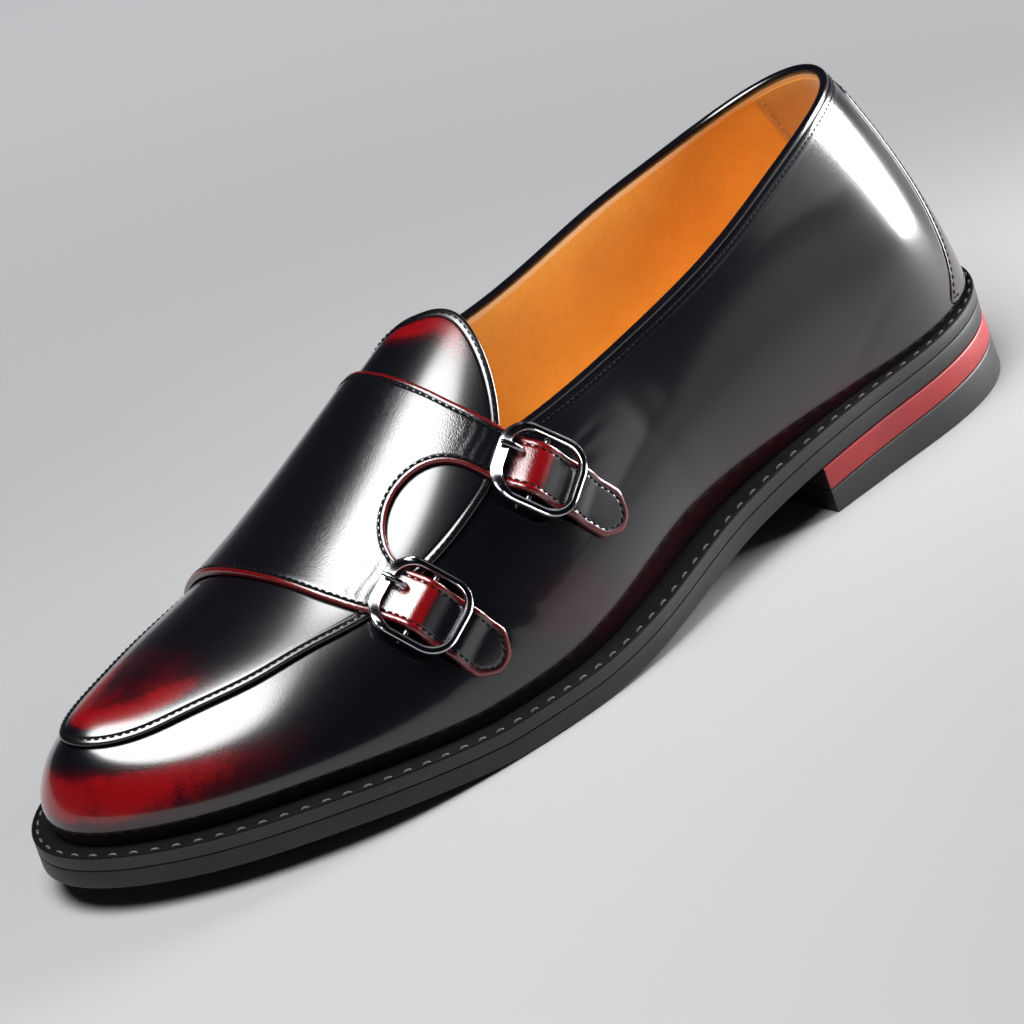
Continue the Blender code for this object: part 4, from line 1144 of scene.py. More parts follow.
def make_collar(sizes):
    """Rolled piping on the collar, and the row of stitches below it."""
    turns, girths = collar_path()
    here, normal = skin_normal(down_rib, turns, girths, 0.01)
    up = unit(np.cross(normal, np.gradient(here, axis=0)))
    up = up * np.sign(np.sum(up * (here - down_rib(turns, girths + 1)), axis=1, keepdims=True))
    centre = here - normal * (WALL * 0.5 - 0.1) + up * 0.25
    _, cosines, sines = circle(16)
    ring = cosines[None, :, None] * normal[:, None] * 1.18 + sines[None, :, None] * up[:, None]
    points, faces = loft(centre[:, None] + ring * sizes.piping_radius / MM)
    add_piece("collar_piping", "upper_leather", points, faces, "piping_leather", {"rub": np.full(len(points), 0.02)})
    line, out = skin_normal(down_rib, *skin_shift(down_rib, turns, girths, up * -2.1, 0.01), 0.01)
    add_stitches("collar_stitches", "upper_leather", line, out, sizes.stitch_pitch * 0.9)


def seam_row(skin, outline, inset):
    """A line along the inside of an outline: its coordinates on the skin, points and normals."""
    line = inset_lines(skin, outline, [inset])[0]
    return line, *skin_normal(skin, *line.T)


def apron_outline():
    """Seam of the apron and tongue as a closed line in plan."""
    widest, half_girth = APRON["station"][0], APRON["girth"][0]
    angles = np.linspace(0, math.pi / 2, 60)[:-1]
    back = widest - (widest - TONGUE_TOP) * np.cos(angles) ** (2 / TONGUE_POWER)
    across = TONGUE_MIDDLE + (half_girth - TONGUE_MIDDLE) * np.sin(angles) ** (2 / TONGUE_POWER)
    front = LAST_LENGTH / 2 * (1 - np.cos(np.linspace(float(turn_at(widest)), math.pi, 120)))
    station = np.concatenate([back, front])
    blend = ease((station - SQUARE_STATION + 3) / 6)[:, None]
    outer, inner = (square_point(station, girth) * (1 - blend) + fan_point(station, girth) * blend for girth in (
        np.concatenate([across, apron_girth(front)]), np.concatenate([tongue_inner(back), -apron_girth(front)])))
    whole = resample(np.concatenate([outer, inner[-2:0:-1]]), APRON_SPACING, closed=True)
    return soften(whole, 3.0, APRON_SPACING, closed=True)[:, :2]


def rub_apron(side, station, inset):
    """Red rub of the apron: the toe end with a darker middle, and the top of the tongue."""
    middle = 0.62 - 0.3 * hill(side, -4, 9) * hill(station, 256, 9)
    ring = hill(inset, 6.5, 4.5) * ease((station - 228) / 20)
    front = ease((station - 236) / 24) * ease((inset - 2.6) / 1.6) * np.maximum(middle, ring)
    tongue = ease((162 - station) / 8) * hill(inset, 4.5, 4.5) * ease((inset - 1.6) / 1.4) * ease((19 - side) / 10)
    return np.clip(front * 1.05 + tongue, 0, 1.1)


def lip_rise(station):
    """How far the apron's rolled lip stands up, less on the tongue."""
    return LIP_RISE * (0.3 + 0.7 * ease((station - 172) / 20))


def make_apron(sizes):
    """The apron and tongue with their stitches, and the tan lining of the tongue."""
    outline = apron_outline()

    def relief(side, station, inset):
        roll = lip_rise(station) * ease((LIP_WIDTH + 0.5 - inset) / 0.6)
        groove = -0.14 * hill(inset, LIP_WIDTH + 0.25, 0.3)
        return roll + groove - 0.14 * hill(station, 236, 10) * ease((inset - 4) / 10)

    points, faces, (side, station), inset = overlay(
        crown_point, outline, APRON_LIFT, APRON_THICKNESS, APRON_FIELD, flat_rings=APRON_RINGS, relief=relief)
    values = {"rub": rub_apron(side, station, inset), "inset": inset, "paint": np.full(len(points), 0.8)}
    add_piece("apron", "apron_leather", points, faces, "apron_calf", values, ["apron_tongue"])
    line, here, normal = seam_row(crown_point, outline, APRON_SEAM)
    row = here + normal * (APRON_LIFT + APRON_THICKNESS + lip_rise(line[:, 1]) - 0.06)[:, None]
    add_stitches("apron_stitches", "apron_leather", row, normal, sizes.stitch_pitch, closed=True)

    shrunk = inset_lines(crown_point, outline, [0.35])[0]
    shrunk = np.roll(shrunk, -int(np.argmax(shrunk[:, 1])), axis=0)
    arc_line = shrunk[shrunk[:, 1] < 158]
    closed = np.concatenate([arc_line, resample(arc_line[[-1, 0]], APRON_SPACING)[1:-1]])
    closed = soften(resample(closed, APRON_SPACING, closed=True), 4.0, APRON_SPACING, closed=True)
    points, faces, _, inset = overlay(crown_point, closed, APRON_LIFT - TONGUE_LINING - 0.05, TONGUE_LINING,
                                      TONGUE_FIELD, edge=((0.0, 0.0), (0.0, 0.7), (0.25, 1.0)))
    add_piece("tongue_lining", "lining", points, faces, "lining_leather", {"inset": inset * 3})


def strap_axes(tail):
    """Centre bar on the skin with the unit vectors off the skin, down the strap and across it to the toe."""
    ahead, down = skin_steps(square_point, tail["station"], tail["girth"], 0.5)
    down = unit(down)
    ahead = unit(ahead - ahead.dot(down) * down)
    angle = math.radians(tail["lean"])
    along = down * math.cos(angle) - ahead * math.sin(angle)
    across = ahead * math.cos(angle) + down * math.sin(angle)
    return square_point(tail["station"], tail["girth"]), unit(np.cross(down, ahead)), along, across


def lay_band(tail, distances):
    """A straight band laid on the skin: rows of (station, girth, across vector) past the centre bar."""
    found = {}
    for way in (-1, 1):
        station, girth = tail["station"], tail["girth"]
        along = strap_axes(tail)[2]
        run = 0.0
        for distance in sorted((d for d in distances if d * way >= 0), key=abs):
            steps = max(1, math.ceil((abs(distance) - run) / 1.5))
            for _ in range(steps):
                stride = (abs(distance) - run) / steps
                station, girth = skin_shift(square_point, station, girth, along * way * stride)
                level = strap_axes(dict(tail, station=station, girth=girth, lean=0))[1]
                along = unit(along - along.dot(level) * level)
            run = abs(distance)
            found[distance] = (station, girth, np.cross(level, along))
    return [found[distance] for distance in distances]


def tail_edges(tail):
    """Heel edge and toe edge of a tail and its tip, from the neck outwards, in (station, girth)."""
    distances = [*np.linspace(-tail["neck"], tail["reach"], 26), tail["reach"] + TIP_LENGTH]
    edges = ([], [])
    for distance, (station, girth, across) in zip(distances, lay_band(tail, distances)):
        reach = across * tail["width"] / 2 * (TIP_WIDTH_SHARE if distance > tail["reach"] else 1)
        for line, way in zip(edges, (-1, 1)):
            line.append(skin_shift(square_point, station, girth, reach * way))
    return edges


def saddle_outline():
    """Closed outline of the saddle strap and its two tails, in (station, girth)."""
    inner_end = SADDLE["girth"][0]
    girths = np.linspace(inner_end, 20, 60)

    def body_edge(curve):
        stations = curve(girths)
        whole = rib_girth(turn_at(stations, -1)) - 1.2
        return list(zip(stations, np.where(girths < 0, girths / -inner_end * whole, girths)))

    upper_back, upper_front = tail_edges(TAILS["upper"])
    lower_back, lower_front = tail_edges(TAILS["lower"])
    heel_side = [*body_edge(saddle_back), *UPPER_NECK_BACK, *upper_back[1:-1]]
    keyhole = [*upper_front[-2:0:-1], *KEYHOLE, *lower_back[1:-1]]
    toe_side = [*lower_front[-2:0:-1], *LOWER_NECK_FRONT[::-1], *body_edge(saddle_front)[::-1]]
    # The long edges are smoothed before the tips are set between them.
    heel_side, keyhole, toe_side = (soften(resample(line, LINE_SPACING), 3.2, LINE_SPACING)
                                    for line in (heel_side, keyhole, toe_side))
    whole = np.concatenate([heel_side, [upper_back[-1], upper_front[-1]], keyhole,
                            [lower_back[-1], lower_front[-1]], toe_side])
    whole = resample(whole, LINE_SPACING, closed=True)
    corner = whole[:, 1] < inner_end + 4
    rounded = soften(whole, 4.5, LINE_SPACING, closed=True)
    whole = soften(whole, 0.95, LINE_SPACING, closed=True)
    whole[corner] = rounded[corner]
    return whole


def strap_place(station, girth):
    """For each point of the strap: distance past the nearer centre bar and distance aside of it."""
    here = square_point(station, girth)
    past = np.full(len(here), -99.0)
    aside = np.zeros(len(here))
    for tail in TAILS.values():
        centre, _, along, across = strap_axes(tail)
        run, over = (here - centre) @ along, (here - centre) @ across
        near = (np.abs(over) < tail["width"] * 0.5 + 2.5) & (run > -HELD_REACH - 7) & (girth > 5)
        past = np.where(near, run, past)
        aside = np.where(near, over, aside)
    return past, aside


def strap_lift(station, girth):
    """Underside of the strap: over the apron, down to the wall beside it, and over the centre bars."""
    seam = apron_girth(np.clip(station, APRON["station"][0], LAST_LENGTH))
    cover = ease((seam + 6 - np.abs(girth)) / 5)
    past, _ = strap_place(station, girth)
    held = ease((past + HELD_REACH + 5) / 5) * ease((HELD_REACH + 5 - past) / 5)
    lift = STRAP_ON_WALL + (STRAP_OVER_APRON - STRAP_ON_WALL) * np.maximum(cover, held)
    return lift + HUMP_HEIGHT * np.cos(np.clip(past / HUMP_REACH, -1, 1) * math.pi / 2) ** 2


def rub_strap(station, girth, inset):
    """Red rub of the strap: over the centre bars, along its edges and on its inner side. Over each bar the red ends
    just past the crest, so the side turning down towards the tail stays black: painted shade.
    """
    past, _ = strap_place(station, girth)
    # Red over the hump, cut short on the tail side where the strap turns down into shade: partly rubbed leather, partly
    # painted shade.
    hump = ease((past + 7) / 2.2) * ease((3.4 - past) / 2.6)
    tail_edge = ease((past + 12) / 4) * ease((1.9 - inset) / 0.8)
    inner_side = 0.26 * ease((-girth - 2) / 14) * ease((14 - inset) / 12)
    band = 0.2 * ease((8 - inset) / 7) * ease((3 - girth) / 10)
    return np.clip(hump + 0.5 * tail_edge + np.maximum(inner_side, band) * 0.8, 0, 1.1)


def strap_normals(line, normal):
    """Normals of the strap's top, which leans over the humps."""
    moves = skin_steps(square_point, *line.T, 0.4)
    slopes = skin_steps(strap_lift, *line.T, 0.4)
    for move, slope in zip(moves, slopes):
        normal = normal - move * (slope / np.sum(move * move, axis=1))[:, None]
    return unit(normal)


def make_saddle(sizes):
    """The saddle strap with its two tails, and its stitches."""
    outline = saddle_outline()

    def relief(station, girth, inset):
        past, aside = strap_place(station, girth)
        wrinkle = 0.07 * np.sin(past * 2.6 + 1.3 * np.sin(aside * 0.5)) * hill(past, -14, 5) * ease((inset - 1.5) / 2)
        return 0.1 * hill(inset, 0.9, 0.5) - 0.13 * hill(inset, STRAP_SEAM, 0.3) + wrinkle

    points, faces, (station, girth), inset = overlay(
        square_point, outline, strap_lift, STRAP_THICKNESS, STRAP_FIELD, flat_rings=STRAP_RINGS, relief=relief)
    values = {"rub": rub_strap(station, girth, inset), "inset": inset, "paint": 0.35 + 0.65 * ease((girth + 60) / 50)}
    add_piece("saddle_strap_leather", "strap_leather", points, faces, "strap_calf", values, ["saddle_strap"])
    line, here, normal = seam_row(square_point, outline, STRAP_SEAM)
    row = here + normal * (strap_lift(*line.T) + STRAP_THICKNESS - 0.12)[:, None]
    add_stitches("strap_stitches", "strap_leather", row, strap_normals(line, normal), sizes.stitch_pitch, closed=True)


def make_stay(sizes):
    """Strip of leather over the back seam, from under the piping to the welt."""
    def stay_skin(across, run):
        turn = np.asarray(across) / STAY_ARM
        return down_rib(turn, rib_girth(turn) - run)

    top = rib_girth(0.0) - collar_girth(np.zeros(1))[0] - COLLAR_BAND - 0.4
    shoulder = top - STAY_CORNER
    runs = np.linspace(0.8, shoulder, 40)
    half = np.interp(runs, STAY["run"], STAY["half"])
    corner = np.linspace(0, math.pi / 2, 14)[1:]
    right = np.stack([np.concatenate([half, half[-1] * np.cos(corner)]),
                      np.concatenate([runs, shoulder + STAY_CORNER * np.sin(corner)])], axis=1)
    outline = resample(np.concatenate([right, right[-2::-1] * (-1, 1)]), STAY_SPACING, closed=True)
    outline = soften(outline, 5.5, STAY_SPACING, closed=True)
    points, faces, (_, run), inset = overlay(
        stay_skin, outline, -STAY_SINK, STAY_THICKNESS, STAY_FIELD, flat_rings=STAY_RINGS,
        relief=lambda across, run, inset: -0.1 * hill(inset, STAY_SEAM, 0.3))
    values = {"rub": 0.16 + 0.06 * np.sin(run * 0.12), "inset": inset, "paint": np.full(len(points), 0.5)}
    add_piece("back_stay_leather", "stay_leather", points, faces, "stay_calf", values, ["back_stay"])
    line = inset_lines(stay_skin, outline, [STAY_SEAM])[0]
    line = line[line[:, 1] > 2.5]
    gaps = np.abs(np.diff(line[:, 0]))
    if gaps.max() > 5:      # the row starts at the foot
        line = np.roll(line, -1 - int(gaps.argmax()), axis=0)
    here, normal = skin_normal(stay_skin, *line.T)
    add_stitches("stay_stitches", "stay_leather", here + normal * 0.25, normal, sizes.stitch_pitch)


def lasted_edge(turns, inset):
    """Line inside the lasted edge of the upper, where it meets the welt, in plan."""
    step = 0.001
    along = unit((rib_point(turns + step, 1.0) - rib_point(turns - step, 1.0))[..., :2])
    here = rib_point(turns, 1.0)
    return here[..., 0] - along[..., 1] * inset, here[..., 1] + along[..., 0] * inset


def sole_ring(turns, inset, base, rise):
    """Ring of points inside the sole's outline, raised over a base that follows the station."""
    side, station = edge_outline(turns, sole_rim(foot_outline(turns)[1]) - inset)
    return np.stack([side, station, base(station) + rise], axis=-1)


def make_welt(sizes):
    """The welt with its sunk stitching channel, and the stitches in it."""
    turns = turns_round(SOLE_RIBS)
    loops = [sole_ring(turns, inset, welt_bottom, rise) for inset, rise in rows_of(WELT_EDGE)]
    side, station = lasted_edge(turns, 2.5)
    start = loops[-1]
    inner = np.stack([side, station, welt_top(station) - 0.5], axis=-1)
    loops += [start * (1 - share) + inner * share for share in (0.35, 0.7)]
    loops += [inner, np.stack([side, station, welt_bottom(station)], axis=-1)]
    strip = add_piece("welt_strip", "welt", *loft(np.array(loops).transpose(1, 0, 2), close_path=True),
                      "welt_edge welt_channel", replaces=["welt"], sharp=40)
    for face in strip.data.polygons:
        if face.normal.z > 0.3 and face.area > 0:
            face.material_index = 1
    rim = sole_rim(foot_outline(turns)[1])
    side, station = edge_outline(turns, np.maximum(rim - 1.5, 0.55 * rim - 0.5))
    row = np.stack([side, station, welt_top(station) - 0.38], axis=-1)
    add_stitches("welt_stitches", "welt", row, np.broadcast_to([0, 0, 1.0], row.shape), sizes.welt_pitch,
                 "pale_thread", closed=True)


def make_outsole(sizes):
    """The outsole under the welt, its edge rounded above and below."""
    turns = turns_round(SOLE_RIBS, 0.5)
    loops = [sole_ring(turns, inset, sole_bottom, rise) for inset, rise in rows_of(OUTSOLE_EDGE)]
    add_piece("outsole_leather", "outsole", *plate(loops), "outsole_edge", replaces=["outsole"], sharp=40)


def heel_loop(turns, inset, level):
    """Ring of the heel at a level, sloping out backwards with depth below the heel seat."""
    side, station = edge_outline(turns, sole_rim(foot_outline(turns)[1]) - inset)
    depth = sole_bottom(station) - level(station)
    return np.stack([side, station - HEEL_FLARE * depth * np.cos(turns), level(station)], axis=-1)


def make_heel(sizes):
    """The painted lift and the rubber top piece, both cut straight across at the breast."""
    reach = float(turn_at(HEEL_BREAST))
    turns = np.linspace(-reach, reach, 160)
    lift_low = GAP + LIFT_THICKNESS
    for name, slot, finish, node, drop, low in (
            ("heel_lift_layer", "red_lift", "lift_paint", "heel_lift", GAP, lambda s: sole_bottom(s) - lift_low),
            ("heel_rubber_piece", "top_piece", "heel_rubber", "heel_top_piece", GAP + lift_low, np.zeros_like)):
        loops = [heel_loop(turns, inset, lambda s: (sole_bottom(s) - drop) * (1 - share) + low(s) * share)
                 for inset, share in rows_of(HEEL_EDGE)]
        for loop in (loops[0], loops[-1]):
            loop[[0, -1], 0] = loops[3][[0, -1], 0] * 0.9
        layer = add_piece(name, slot, *plate(loops), finish + " heel_rubber", replaces=[node], sharp=35)
        # Faces on the breast take the black rubber finish: painted shade, as the breast lies in shadow under the arch.
        for face in layer.data.polygons:
            if face.normal.y < -0.9:
                face.material_index = 1


def make_sock(sizes):
    """Sock lining over the insole, dished a little and turned up at its rim."""
    turns = turns_round(SOCK_RIBS, 0.5)
    loops = []
    for inset, height, _ in rows_of(SOCK_RINGS):
        limit = np.minimum(inset, 3.0 + (inset - 3.0) * np.clip(np.sin(turns % math.pi) * 1.6, 0.12, 1))
        side, station = lasted_edge(turns, limit)
        loops.append(np.stack([side, station, welt_top(station) + INSOLE_PROUD + height], axis=-1))
    add_piece("sock_lining", "lining", *plate(loops), "lining_leather",
              {"inset": np.repeat(SOCK_RINGS["edge"], SOCK_RIBS)}, ["insole"])


def bar_outline(length, width, radius, shift=0.0):
    """Rounded rectangle in plan: X across the strap, Y along it."""
    corners = []
    for corner, (x_way, y_way) in enumerate(((1, 1), (-1, 1), (-1, -1), (1, -1))):
        angles = np.radians(90 * (corner + np.arange(16) / 15))
        corners.append(np.stack([(width / 2 - radius) * x_way + radius * np.cos(angles),
                                 (length / 2 - radius) * y_way + shift + radius * np.sin(angles)], axis=1))
    return resample(np.concatenate(corners), 0.55, closed=True)


def make_buckle(name, tail):
    """A buckle's frame with its centre bar, and the prong that curls up from the bar onto the wide end."""
    here, normal, along, across = strap_axes(tail)
    axes = np.stack([across, along, normal])
    outer = bar_outline(BUCKLE_LENGTH, BUCKLE_WIDTH, BUCKLE_CORNER)
    shift = (BUCKLE_WIDE_BAR - BUCKLE_SIDE_BAR) / 2
    inner = bar_outline(BUCKLE_LENGTH - BUCKLE_WIDE_BAR - BUCKLE_SIDE_BAR, BUCKLE_WIDTH - 2 * BUCKLE_SIDE_BAR,
                        BUCKLE_CORNER - BUCKLE_SIDE_BAR, shift)
    outer_angles, angles = (np.unwrap(np.arctan2(line[:, 1] - shift, line[:, 0])) for line in (outer, inner))
    angles = np.concatenate([angles - 2 * math.pi, angles, angles + 2 * math.pi])
    matched = columns_at(outer_angles, angles, np.tile(inner, (3, 1)))
    wide = ease((-outer[:, 1] - BUCKLE_LENGTH * 0.28) / (BUCKLE_LENGTH * 0.16))
    loops = []
    for share, height, _ in rows_of(BUCKLE_SECTION):
        plan = outer * (1 - share) + matched * share
        sloped = min(height, BUCKLE_DEPTH - WIDE_BAR_SLOPE * (0.86 - share) / 0.72) if height > 0.5 else height
        loops.append(np.column_stack([plan, BUCKLE_LIFT + height * (1 - wide) + sloped * wide]))
    sections = here + np.array(loops).transpose(1, 0, 2) @ axes
    rim = np.broadcast_to(BUCKLE_SECTION["rim"], sections.shape[:2]).ravel()
    half = (BUCKLE_WIDTH - BUCKLE_SIDE_BAR) / 2
    bar_path = here + np.array([(x, 0, CENTRE_BAR_LIFT) for x in np.linspace(-half, half, 20)]) @ axes
    bar_points, bar_faces = tube(bar_path, normal, CENTRE_BAR_RADIUS)
    points, faces, values = join_parts((*loft(sections, close_path=True), {"rim": rim}),
                                       (bar_points, bar_faces, {"rim": np.full(len(bar_points), 0.2)}))
    add_piece("frame_" + name, "gunmetal", points, faces, "buckle_metal", values, ["buckle_" + name], sharp=50)
    rows = resample(list(rows_of(PRONG)), 0.3)
    path = np.array([(-PRONG_HEELWARD, y, BUCKLE_LIFT + BUCKLE_DEPTH + z) for y, z, _ in rows])
    points, faces = tube(here + path @ axes, normal, rows[:, 2], flat=0.7)
    add_piece("pin_" + name, "gunmetal", points, faces, "buckle_metal", {"rim": np.full(len(points), 0.35)},
              ["prong_" + name])


def make_buckles(sizes):
    """The two buckles with their prongs."""
    for name, tail in TAILS.items():
        make_buckle(name, tail)


# ---- Stage ------------------------------------------------------------------------------------------------
# The overhead light: a wide oval softbox made of three, one inside the other, so its rim is soft.
PANEL_HEIGHT = 1.0
PANEL_MIDDLE = (0.19, -0.38)
PANEL_SIZE = (0.9, 0.7)
PANEL_TURN = -22.0          # degrees about the upright axis
PANEL_RINGS = ((1.02, 4.0), (0.95, 5.0), (0.87, 7.0))      # share of the size, brightness it adds
# A smaller softbox behind the heel: where it stands and looks, its size, power and spread.
HEEL_PANEL = dict(place_at=(0.095, 0.375, 0.13), look_at=(0.02, 0.115, 0.13), size=(0.15, 0.33), power=1.3)
HEEL_PANEL_SPREAD = 90.0
FLOOR_RADIUS = 9.0
FLOOR_DROP = 0.0002
CAMERA_AZIMUTH = 31.536
CAMERA_HEIGHT = 24.322
CAMERA_ROLL = -18.295
CAMERA_DISTANCE = 1.57476
CAMERA_AIM = (0.0, 150.0, 35.0)
CAMERA_OFFSET = (5.186, -2.108)     # millimetres to the right and up from the aim
CAMERA_LENS = 227.97


def make_camera():
    azimuth, height, roll = (math.radians(v) for v in (CAMERA_AZIMUTH, CAMERA_HEIGHT, CAMERA_ROLL))
    back = Vector((math.cos(height) * math.cos(azimuth), -math.cos(height) * math.sin(azimuth), math.sin(height)))
    right = (-back).cross(Vector((0, 0, 1))).normalized()
    up = right.cross(-back)
    turned_right = math.cos(roll) * right + math.sin(roll) * up
    turned_up = -math.sin(roll) * right + math.cos(roll) * up
    data = bpy.data.cameras.new("studio_camera")
    data.lens = CAMERA_LENS
    data.sensor_width = 36
    data.clip_start = 0.05
    data.clip_end = 50
    camera = add_object("studio_camera", data)
    sideways, upwards = (offset * MM for offset in CAMERA_OFFSET)
    camera.location = Vector(place(CAMERA_AIM)) + turned_right * sideways + turned_up * upwards + back * CAMERA_DISTANCE
    camera.rotation_euler = Matrix((turned_right, turned_up, back)).transposed().to_euler()
    bpy.context.scene.camera = camera


def add_softbox(name, place_at, look_at, size, power):
    data = bpy.data.lights.new(name, 'AREA')
    data.shape = 'ELLIPSE'
    data.size, data.size_y = size
    data.energy = power
    lamp = add_object(name, data)
    lamp.location = place_at
    lamp.rotation_euler = (Vector(look_at) - Vector(place_at)).to_track_quat('-Z', 'Y').to_euler()
    lamp.visible_camera = False
    return lamp


def vector_value(tree, operation, a, b):
    return add_node(tree, "ShaderNodeVectorMath", {0: a, 1: b}, operation=operation).outputs[1]


def make_surroundings():
    """A dark room with a soft bright spot behind the heel."""
    world = bpy.data.worlds.new("studio")
    bpy.context.scene.world = world
    world.use_nodes = True
    tree = world.node_tree
    ray = add_node(tree, "ShaderNodeTexCoord").outputs["Generated"]
    height = add_node(tree, "ShaderNodeSeparateXYZ", {0: ray}).outputs["Z"]
    tone = mix_colour(tree, remap(tree, height, -0.1, 0.5), (0.07, 0.072, 0.08), (0.016, 0.017, 0.025))
    side = vector_value(tree, 'DOT_PRODUCT', ray, (0.5, 0.86, -0.08))
    tone = mix_colour(tree, remap(tree, side, 0.88, 1.0), tone, (1.3, 1.3, 1.33))
    feed(tree, tree.nodes["Background"], Color=tone, Strength=1.0)


def make_floor(colour):
    """A matt floor, paler away from the overhead light so that it looks evenly lit."""
    tree, shader, ground = new_finish("studio_floor")
    tone = mix_colour(tree, noise(tree, ground, 0.004, 4.0), toned(colour, 0.96), colour)
    away = vector_value(tree, 'DISTANCE', ground, (*PANEL_MIDDLE, 0))
    tone = mix_colour(tree, remap(tree, away, 0.5, 1.1), tone, [min(0.95, c * 2.6) for c in colour])
    feed(tree, shader, Base_Color=tone, Roughness=0.75, Normal=bump(tree, noise(tree, ground, 0.8, 3.0), 0.02, 0.2))
    bm = bmesh.new()
    bmesh.ops.create_circle(bm, cap_ends=True, segments=96, radius=FLOOR_RADIUS)
    bmesh.ops.translate(bm, verts=bm.verts, vec=(0, 0, -FLOOR_DROP))
    mesh = bpy.data.meshes.new("studio_floor")
    bm.to_mesh(mesh)
    bm.free()
    mesh.materials.append(bpy.data.materials["studio_floor"])
    add_object("studio_floor", mesh)


def make_stage(colours):
    """The floor, the room, the lights and the camera."""
    bpy.context.scene.view_settings.view_transform = 'Standard'
    make_surroundings()
    make_floor(colours.floor)
    for k, (share, radiance) in enumerate(PANEL_RINGS):
        size = [side * share for side in PANEL_SIZE]
        power = radiance * math.pi * math.pi / 4 * size[0] * size[1]
        panel = add_softbox("overhead_panel_%d" % k, (*PANEL_MIDDLE, PANEL_HEIGHT + 0.01 * k), (*PANEL_MIDDLE, 0.0),
                            size, power)
        panel.rotation_euler = (0, 0, math.radians(PANEL_TURN))
    add_softbox("heel_panel", **HEEL_PANEL).data.spread = math.radians(HEEL_PANEL_SPREAD)
    make_camera()


# ---- Add-on -----------------------------------------------------------------------------------------------
def length_property(name, description, default):
    return FloatProperty(name=name, description=description, default=default * MM, subtype='DISTANCE',
                         unit='LENGTH', precision=4)


def colour_property(name, description, default):
    return FloatVectorProperty(name=name, description=description, default=default, subtype='COLOR', size=3,
                               min=0, max=1)


class LoaferSizes(bpy.types.PropertyGroup):
    wall_ribs: IntProperty(name="Wall ribs", description="Ribs of mesh round the outer wall", default=560, min=120)
    stitch_pitch: length_property("Stitch pitch", "Length from one upper stitch to the next", 1.9)
    welt_pitch: length_property("Welt stitch pitch", "Length from one welt stitch to the next", 5.2)
    piping_radius: length_property("Piping radius", "Radius of the rolled collar piping", 1.05)


class LoaferColours(bpy.types.PropertyGroup):
    night: colour_property("Night", "Darkest tone of the burnished leather", (0.0022, 0.002, 0.0035))
    wine: colour_property("Wine", "Leather where the burnish thins", (0.026, 0.001, 0.0025))
    red: colour_property("Red", "Leather where the burnish is rubbed through", (0.18, 0.0015, 0.003))
    edge: colour_property("Cut edge", "Cut edges of apron and stay", (0.01, 0.003, 0.003))
    red_edge: colour_property("Painted edge", "Painted edges of the strap", (0.1, 0.0015, 0.0025))
    tan: colour_property("Lining", "Tan lining leather", (0.97, 0.48, 0.062))
    tan_rim: colour_property("Lining edge", "Pale cut edge of the lining", (0.97, 0.68, 0.36))
    welt: colour_property("Welt", "Stained welt edge", (0.015, 0.013, 0.013))
    outsole: colour_property("Outsole", "Stained outsole edge", (0.008, 0.0075, 0.0085))
    lift: colour_property("Heel lift", "Painted lift in the heel", (0.26, 0.012, 0.014))
    metal: colour_property("Metal", "Dark plated buckles", (0.12, 0.12, 0.13))
    floor: colour_property("Floor", "Studio floor", (0.35, 0.35, 0.358))


def run(settings, *makers):
    """Calls the makers of an operator with the sizes or colours it needs."""
    for make in makers:
        make(settings)
    return {'FINISHED'}


class LOAFER_OT_finishes(bpy.types.Operator):
    """Make the leather, thread, sole and metal finishes"""
    bl_idname = "loafer.finishes"
    bl_label = "Finishes"

    def execute(self, context):
        return run(context.scene.loafer_colours, make_finishes)


class LOAFER_OT_wall(bpy.types.Operator):
    """Make the outer wall of the upper with its collar piping"""
    bl_idname = "loafer.wall"
    bl_label = "Wall and collar"

    def execute(self, context):
        return run(context.scene.loafer_sizes, make_wall, make_collar)


class LOAFER_OT_lining(bpy.types.Operator):
    """Make the lining, heel pocket and sock"""
    bl_idname = "loafer.lining"
    bl_label = "Lining"

    def execute(self, context):
        return run(context.scene.loafer_sizes, make_lining, make_heel_pocket, make_sock)


class LOAFER_OT_apron(bpy.types.Operator):
    """Make the apron and tongue with their stitches and lining"""
    bl_idname = "loafer.apron"
    bl_label = "Apron and tongue"

    def execute(self, context):
        return run(context.scene.loafer_sizes, make_apron)


class LOAFER_OT_saddle(bpy.types.Operator):
    """Make the saddle strap with its two tails"""
    bl_idname = "loafer.saddle"
    bl_label = "Saddle strap"

    def execute(self, context):
        return run(context.scene.loafer_sizes, make_saddle)


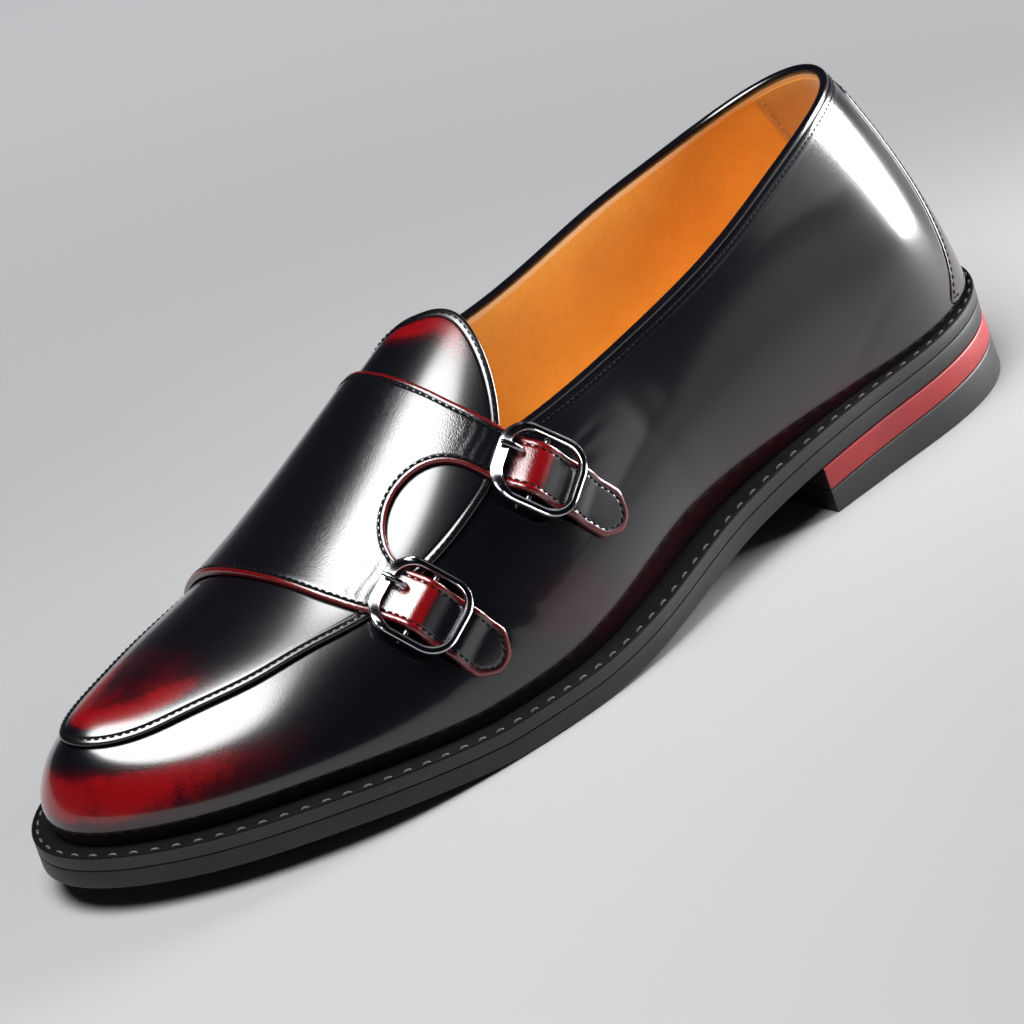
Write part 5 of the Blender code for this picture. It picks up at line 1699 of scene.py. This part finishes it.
class LOAFER_OT_stay(bpy.types.Operator):
    """Make the back stay"""
    bl_idname = "loafer.stay"
    bl_label = "Back stay"

    def execute(self, context):
        return run(context.scene.loafer_sizes, make_stay)


class LOAFER_OT_sole(bpy.types.Operator):
    """Make the welt, outsole and heel"""
    bl_idname = "loafer.sole"
    bl_label = "Sole and heel"

    def execute(self, context):
        return run(context.scene.loafer_sizes, make_welt, make_outsole, make_heel)


class LOAFER_OT_buckles(bpy.types.Operator):
    """Make the two buckles with their prongs"""
    bl_idname = "loafer.buckles"
    bl_label = "Buckles"

    def execute(self, context):
        return run(context.scene.loafer_sizes, make_buckles)


class LOAFER_OT_stage(bpy.types.Operator):
    """Make the floor, the lights and the camera"""
    bl_idname = "loafer.stage"
    bl_label = "Stage"

    def execute(self, context):
        return run(context.scene.loafer_colours, make_stage)


OPERATORS = (LOAFER_OT_finishes, LOAFER_OT_wall, LOAFER_OT_lining, LOAFER_OT_apron, LOAFER_OT_saddle,
             LOAFER_OT_stay, LOAFER_OT_sole, LOAFER_OT_buckles, LOAFER_OT_stage)


class LOAFER_PT_panel(bpy.types.Panel):
    """Sizes, colours and steps of the loafer"""
    bl_label = "Loafer"
    bl_idname = "LOAFER_PT_panel"
    bl_space_type = 'VIEW_3D'
    bl_region_type = 'UI'
    bl_category = "Loafer"

    def draw(self, context):
        layout = self.layout
        for group in (context.scene.loafer_sizes, context.scene.loafer_colours):
            column = layout.column(align=True)
            for key in group.__annotations__:
                column.prop(group, key)
        for one in OPERATORS:
            layout.operator(one.bl_idname)


CLASSES = (LoaferSizes, LoaferColours, *OPERATORS, LOAFER_PT_panel)


def register():
    for one in CLASSES:
        bpy.utils.register_class(one)
    bpy.types.Scene.loafer_sizes = PointerProperty(type=LoaferSizes)
    bpy.types.Scene.loafer_colours = PointerProperty(type=LoaferColours)


def unregister():
    del bpy.types.Scene.loafer_colours
    del bpy.types.Scene.loafer_sizes
    for one in reversed(CLASSES):
        bpy.utils.unregister_class(one)


def main():
    register()
    for one in OPERATORS:
        group, name = one.bl_idname.split(".")
        getattr(getattr(bpy.ops, group), name)()
    bpy.context.view_layer.update()


if __name__ == "__main__":
    main()
